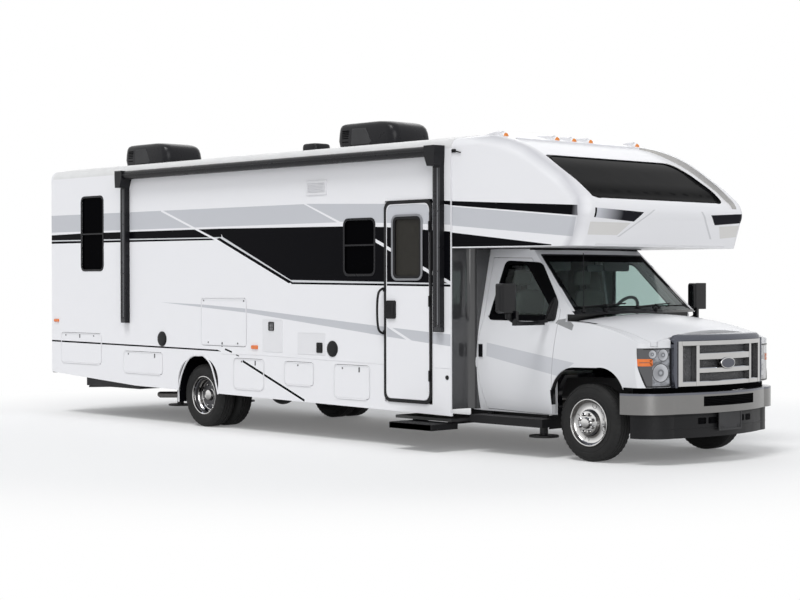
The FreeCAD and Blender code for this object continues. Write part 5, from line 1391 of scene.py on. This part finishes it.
def make_left_details():
    trim, black, water = Shape(), Shape(), Shape()
    trim.rim((-1.205, 1.915, 0.900, 2.760), 0.019, (0.03, 0.02), "side", 1.2745, 1.2845)
    trim.make("slide_flange", "white_trim", bevel=0.002)
    for x, z, radius in ((-2.30, 1.05, 0.075), (-3.40, 0.98, 0.085)):
        black.turned([(0.0005, 0.0165), (radius * 0.6, 0.0165), (radius * 0.93, 0.011), (radius, 0.003),
                      (radius, -0.001)], (x, SIDE, z), steps=36)
    black.rim((-3.05, -2.60, 1.35, 1.95), 0.03, (0.02, 0.01), "side", SIDE, SIDE + 0.010)
    for i in range(14):
        z = 1.395 + 0.037 * i
        black.bar((-3.03, -2.62, z, z + 0.016), 0.004, "side", SIDE, SIDE + 0.007, 2)
    black.make("left_ports_and_vents", "black", bevel=0.001)
    for rect in ((-2.25, -2.00, 1.50, 1.75), (2.02, 2.26, 1.00, 1.20)):
        water.rim(rect, 0.015, (0.02, 0.012), "side", SIDE, SIDE + 0.008)
        water.bar(grown(rect, -0.01), 0.012, "side", SIDE, SIDE + 0.005)
    water.make("left_service_doors", "white_trim", bevel=0.001)


def make_underbody():
    filler, tray, pipe = Shape(), Shape(), Shape()
    filler.slab([(4.50, -0.90), (4.70, -0.86), (4.70, 0.86), (4.50, 0.90)], "plan", 0.655, 0.714)
    filler.make("grille_filler", "deep_black")
    tray.slab(shifted([(-8.40, 0.335), (-7.15, 0.400), (-7.15, 0.470), (-8.30, 0.520)]), "side",
              -1.02, -0.55)
    tray.make("rear_underbody_tray", "black", bevel=0.006)
    pipe.tube([(ahead(-6.86), -1.0, 0.315), (ahead(-6.815), -1.0, 0.315)], 0.032, steps=20)
    pipe.make("tailpipe_tip", "bare_steel", bevel=0.001)


# Cab interior

def cushion(name, place, size, lean, crown):
    """A crowned pad with rounded corners and two sewn channels, leaning back by an angle."""
    length, width, depth = size
    work = bmesh.new()
    bmesh.ops.create_grid(work, x_segments=14, y_segments=14, size=0.5)
    top = list(work.verts)
    made = bmesh.ops.extrude_face_region(work, geom=list(work.faces))
    lower = [v for v in made["geom"] if isinstance(v, bmesh.types.BMVert)]
    for vert, sign in [(vert, 1) for vert in top] + [(vert, -1) for vert in lower]:
        u, v = vert.co.x * 2, vert.co.y * 2
        edge = max(0.0, 1 - max(abs(u), abs(v)) ** 6)
        channel = 0.35 * math.exp(-((abs(v) - 0.55) / 0.06) ** 2)
        rise = (0.45 + 0.55 * edge) * depth / 2 + sign * crown * (1 - u * u) * (1 - v * v) * edge
        rise = max(rise - channel * 0.02 * edge, depth * 0.15)
        vert.co = (u * length / 2 * (1 - 0.10 * v * v), v * width / 2 * (1 - 0.08 * u * u), sign * rise)
    bmesh.ops.recalc_face_normals(work, faces=work.faces)
    turn = Matrix.Translation(place) @ Matrix.Rotation(math.radians(lean), 4, "Y")
    bmesh.ops.transform(work, matrix=turn, verts=work.verts)
    mesh = bpy.data.meshes.new(name)
    work.to_mesh(mesh)
    work.free()
    piece = smooth_piece(name, mesh, "cloth")
    swell = piece.modifiers.new("smooth", "SUBSURF")
    swell.levels = swell.render_levels = 1
    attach(piece, "coach")
    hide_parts("cab_seats")


def make_seat(name, y):
    """One seat with its pedestal, headrest posts and sun visor."""
    base, visor = Shape(), Shape()
    cushion("seat_base_" + name, (3.00, y, 0.955), (0.44, 0.42, 0.13), -6, 0.018)
    cushion("seat_back_" + name, (2.775, y, 1.33), (0.60, 0.42, 0.12), -78, 0.018)
    cushion("headrest_" + name, (2.715, y, 1.735), (0.16, 0.24, 0.09), -80, 0.012)
    base.bar((2.80, 3.18, 0.802, 0.890), 0.02, "side", y - 0.17, y + 0.17)
    for dy in (-0.05, 0.05):
        base.tube([(2.735, y + dy, 1.60), (2.718, y + dy, 1.69)], 0.007)
    base.make("seat_pedestal_" + name, "dash", bevel=0.006)
    visor.bar((y - 0.20, y + 0.20, 1.80, 1.915), 0.03, "front", 3.175, 3.195)
    visor.make("sun_visor_" + name, "dash", bevel=0.005)


def make_interior():
    make_seat("right", -0.46)
    make_seat("left", 0.46)
    mirror, lining = Shape(), Shape()
    mirror.bar((-0.125, 0.125, 1.795, 1.865), 0.03, "front", 3.27, 3.295)
    mirror.tube([(3.285, 0, 1.865), (3.275, 0, 1.905), (3.255, 0, 1.925)], 0.008)
    mirror.make("rear_view_mirror", "dash", bevel=0.004)
    lining.slab([(2.56, -0.78), (3.10, -0.72), (3.10, 0.72), (2.56, 0.78)], "plan", 1.925, 1.945)
    lining.make("headliner", "headliner", bevel=0.004)


# Materials and the nodes they dress

make_studio()
M = {
    "coach": gelcoat("coach_paint", [(BAND_GREY, COACH_BANDS), (SILVER, COACH_SILVER), (BLACK, COACH_BLACK),
                                     (WHITE, COACH_WHITE)]),
    "overcab": gelcoat("overcab_paint", [(BAND_GREY, OVERCAB_GREY), (BLACK, OVERCAB_BLACK)], art=nose_art),
    "cab": cab_paint(),
    "hood": gelcoat("hood_paint", walled=False, ground=CAB_WHITE),
    "deep_black": plain("deep_black", (0.0015, 0.0015, 0.002), 0.6, Specular_IOR_Level=0.03),
    "slate": plain("slate_chrome", (0.10, 0.105, 0.125), 0.18, 0.75, spread=0.03, bump=0.01),
    "mesh": meshed("grille_mesh"),
    "steel_wheel": plain("wheel_paint", (0.10, 0.10, 0.105), 0.4, 0.6, bump=0.2),
    "mirror": plain("mirror_glass", (0.80, 0.82, 0.84), 0.03, 1.0, spread=0.01, bump=0.0),
    "amber_lens": plain("amber_lens", (0.75, 0.16, 0.01), 0.12, spread=0.1, Coat_Weight=0.5),
    "clearance": clearance_lens(),
    "red_lens": plain("red_lens", (0.45, 0.012, 0.01), 0.12, spread=0.1, Coat_Weight=0.5),
    "headlamp": headlamp_inside(),
    "latch": plain("latch_metal", (0.11, 0.11, 0.115), 0.35, 0.7, bump=0.05),
    "grip": plain("grip_plastic", (0.05, 0.05, 0.052), 0.6, bump=0.5, fine=400),
    "headliner": plain("headliner", (0.36, 0.35, 0.33), 0.9, bump=0.5, fine=600),
    "dark_rail": plain("awning_rail", (0.035, 0.036, 0.040), 0.3, 0.3, bump=0.03),
    "bright_tube": plain("bright_tube", (0.45, 0.45, 0.46), 0.25, 0.9, bump=0.02),
    "white_trim": plain("white_trim", (0.74, 0.74, 0.76), 0.35, spread=0.05, bump=0.02),
    "screen": screened("door_screen"),
    "frame_grey": plain("window_frame_grey", (0.22, 0.225, 0.24), 0.35, spread=0.1, bump=0.05),
    "roof": plain("roof_membrane", (0.74, 0.74, 0.74), 0.55, bump=0.2),
    "black": plain("black_plastic", (0.009, 0.009, 0.010), 0.42),
    "dark": plain("dark_coat", (0.010, 0.010, 0.012), 0.3, spread=0.1, bump=0.05),
    "grey_panel": plain("grey_panel", (0.040, 0.040, 0.042), 0.10, spread=0.05, bump=0.01, Coat_Weight=0.6),
    "rubber": plain("rubber", (0.018, 0.018, 0.018), 0.7, bump=0.3),
    "chrome": chromed("chrome"),
    "bumper": chromed("bumper_chrome", 0.24, 0.37),
    "steel": plain("chassis_paint", (0.03, 0.03, 0.031), 0.5, 0.2, bump=0.3, fine=90),
    "bare_steel": plain("bare_steel", (0.13, 0.125, 0.12), 0.42, 0.9, bump=0.2, fine=60),
    "tank": plain("tank_plastic", (0.04, 0.04, 0.042), 0.55, bump=0.3, fine=120),
    "dark_glass": plain("dark_glass", (0.0015, 0.0015, 0.002), 0.08, spread=0.0, bump=0.0,
                        Specular_IOR_Level=0.004),
    "clear_glass": glass("cab_glass", (0.76, 0.825, 0.81)),
    "dash": plain("dash_plastic", (0.09, 0.09, 0.092), 0.6, bump=0.4),
    "cloth": plain("seat_cloth", (0.17, 0.165, 0.155), 0.85, bump=0.6, fine=500),
    "deck": plain("deck", (0.30, 0.22, 0.15), 0.6),
    "lens": plain("lens", (0.55, 0.56, 0.58), 0.1),
}
DRESSED = {
    "coach": ["wall_right", "wall_left", "skirts", "entry_door", "slide_room", *BINS, "rear_wall"],
    "overcab": ["overcab"],
    "cab": ["cab_shell", "cab_door_right", "cab_door_left", "fenders"],
    "hood": ["hood"],
    "roof": ["roof"],
    "black": ["roof_units", "running_boards", "valance", "entry_frame", "entry_step", "rear_bumper"],
    "dark": ["awning"],
    "grey_panel": ["fairings"],
    "rubber": ["tyre_front_left", "tyre_front_right", "tyres_rear_left", "tyres_rear_right"],
    "bumper": ["front_bumper"],
    "chrome": ["grille", "rim_front_left", "rim_front_right", "rims_rear_left", "rims_rear_right"],
    "steel": ["frame_rails", "cross_members", "front_axle", "rear_axle", "knuckle_left", "knuckle_right",
              "levelling_jacks", "engine_and_driveshaft"],
    "bare_steel": ["exhaust"],
    "tank": ["tanks", "storage_bins"],
    "dark_glass": ["coach_windows", "slide_window"],
    "screen": ["entry_door_glass"],
    "clear_glass": ["windshield", "cab_door_glass_left", "cab_door_glass_right"],
    "dash": ["dashboard"],
    "cloth": ["cab_seats"],
    "deck": ["floor"],
    "lens": ["lamps"],
}
for slot, names in DRESSED.items():
    for name in names:
        nodes[name].data.materials.clear()
        nodes[name].data.materials.append(M[slot])

make_wheels()
make_grille()
make_lamps()
make_bumper()
make_windshield_trim()
make_door_glass_trim()
make_antenna()
make_mirrors()
make_windows()
make_baggage_trim()
make_wall_panels()
make_wall_ports()
make_side_trim()
make_entry_door()
make_steps()
make_roof_units()
make_overcab_details()
make_awning_details()
make_rear_details()
make_left_details()
make_underbody()
make_interior()
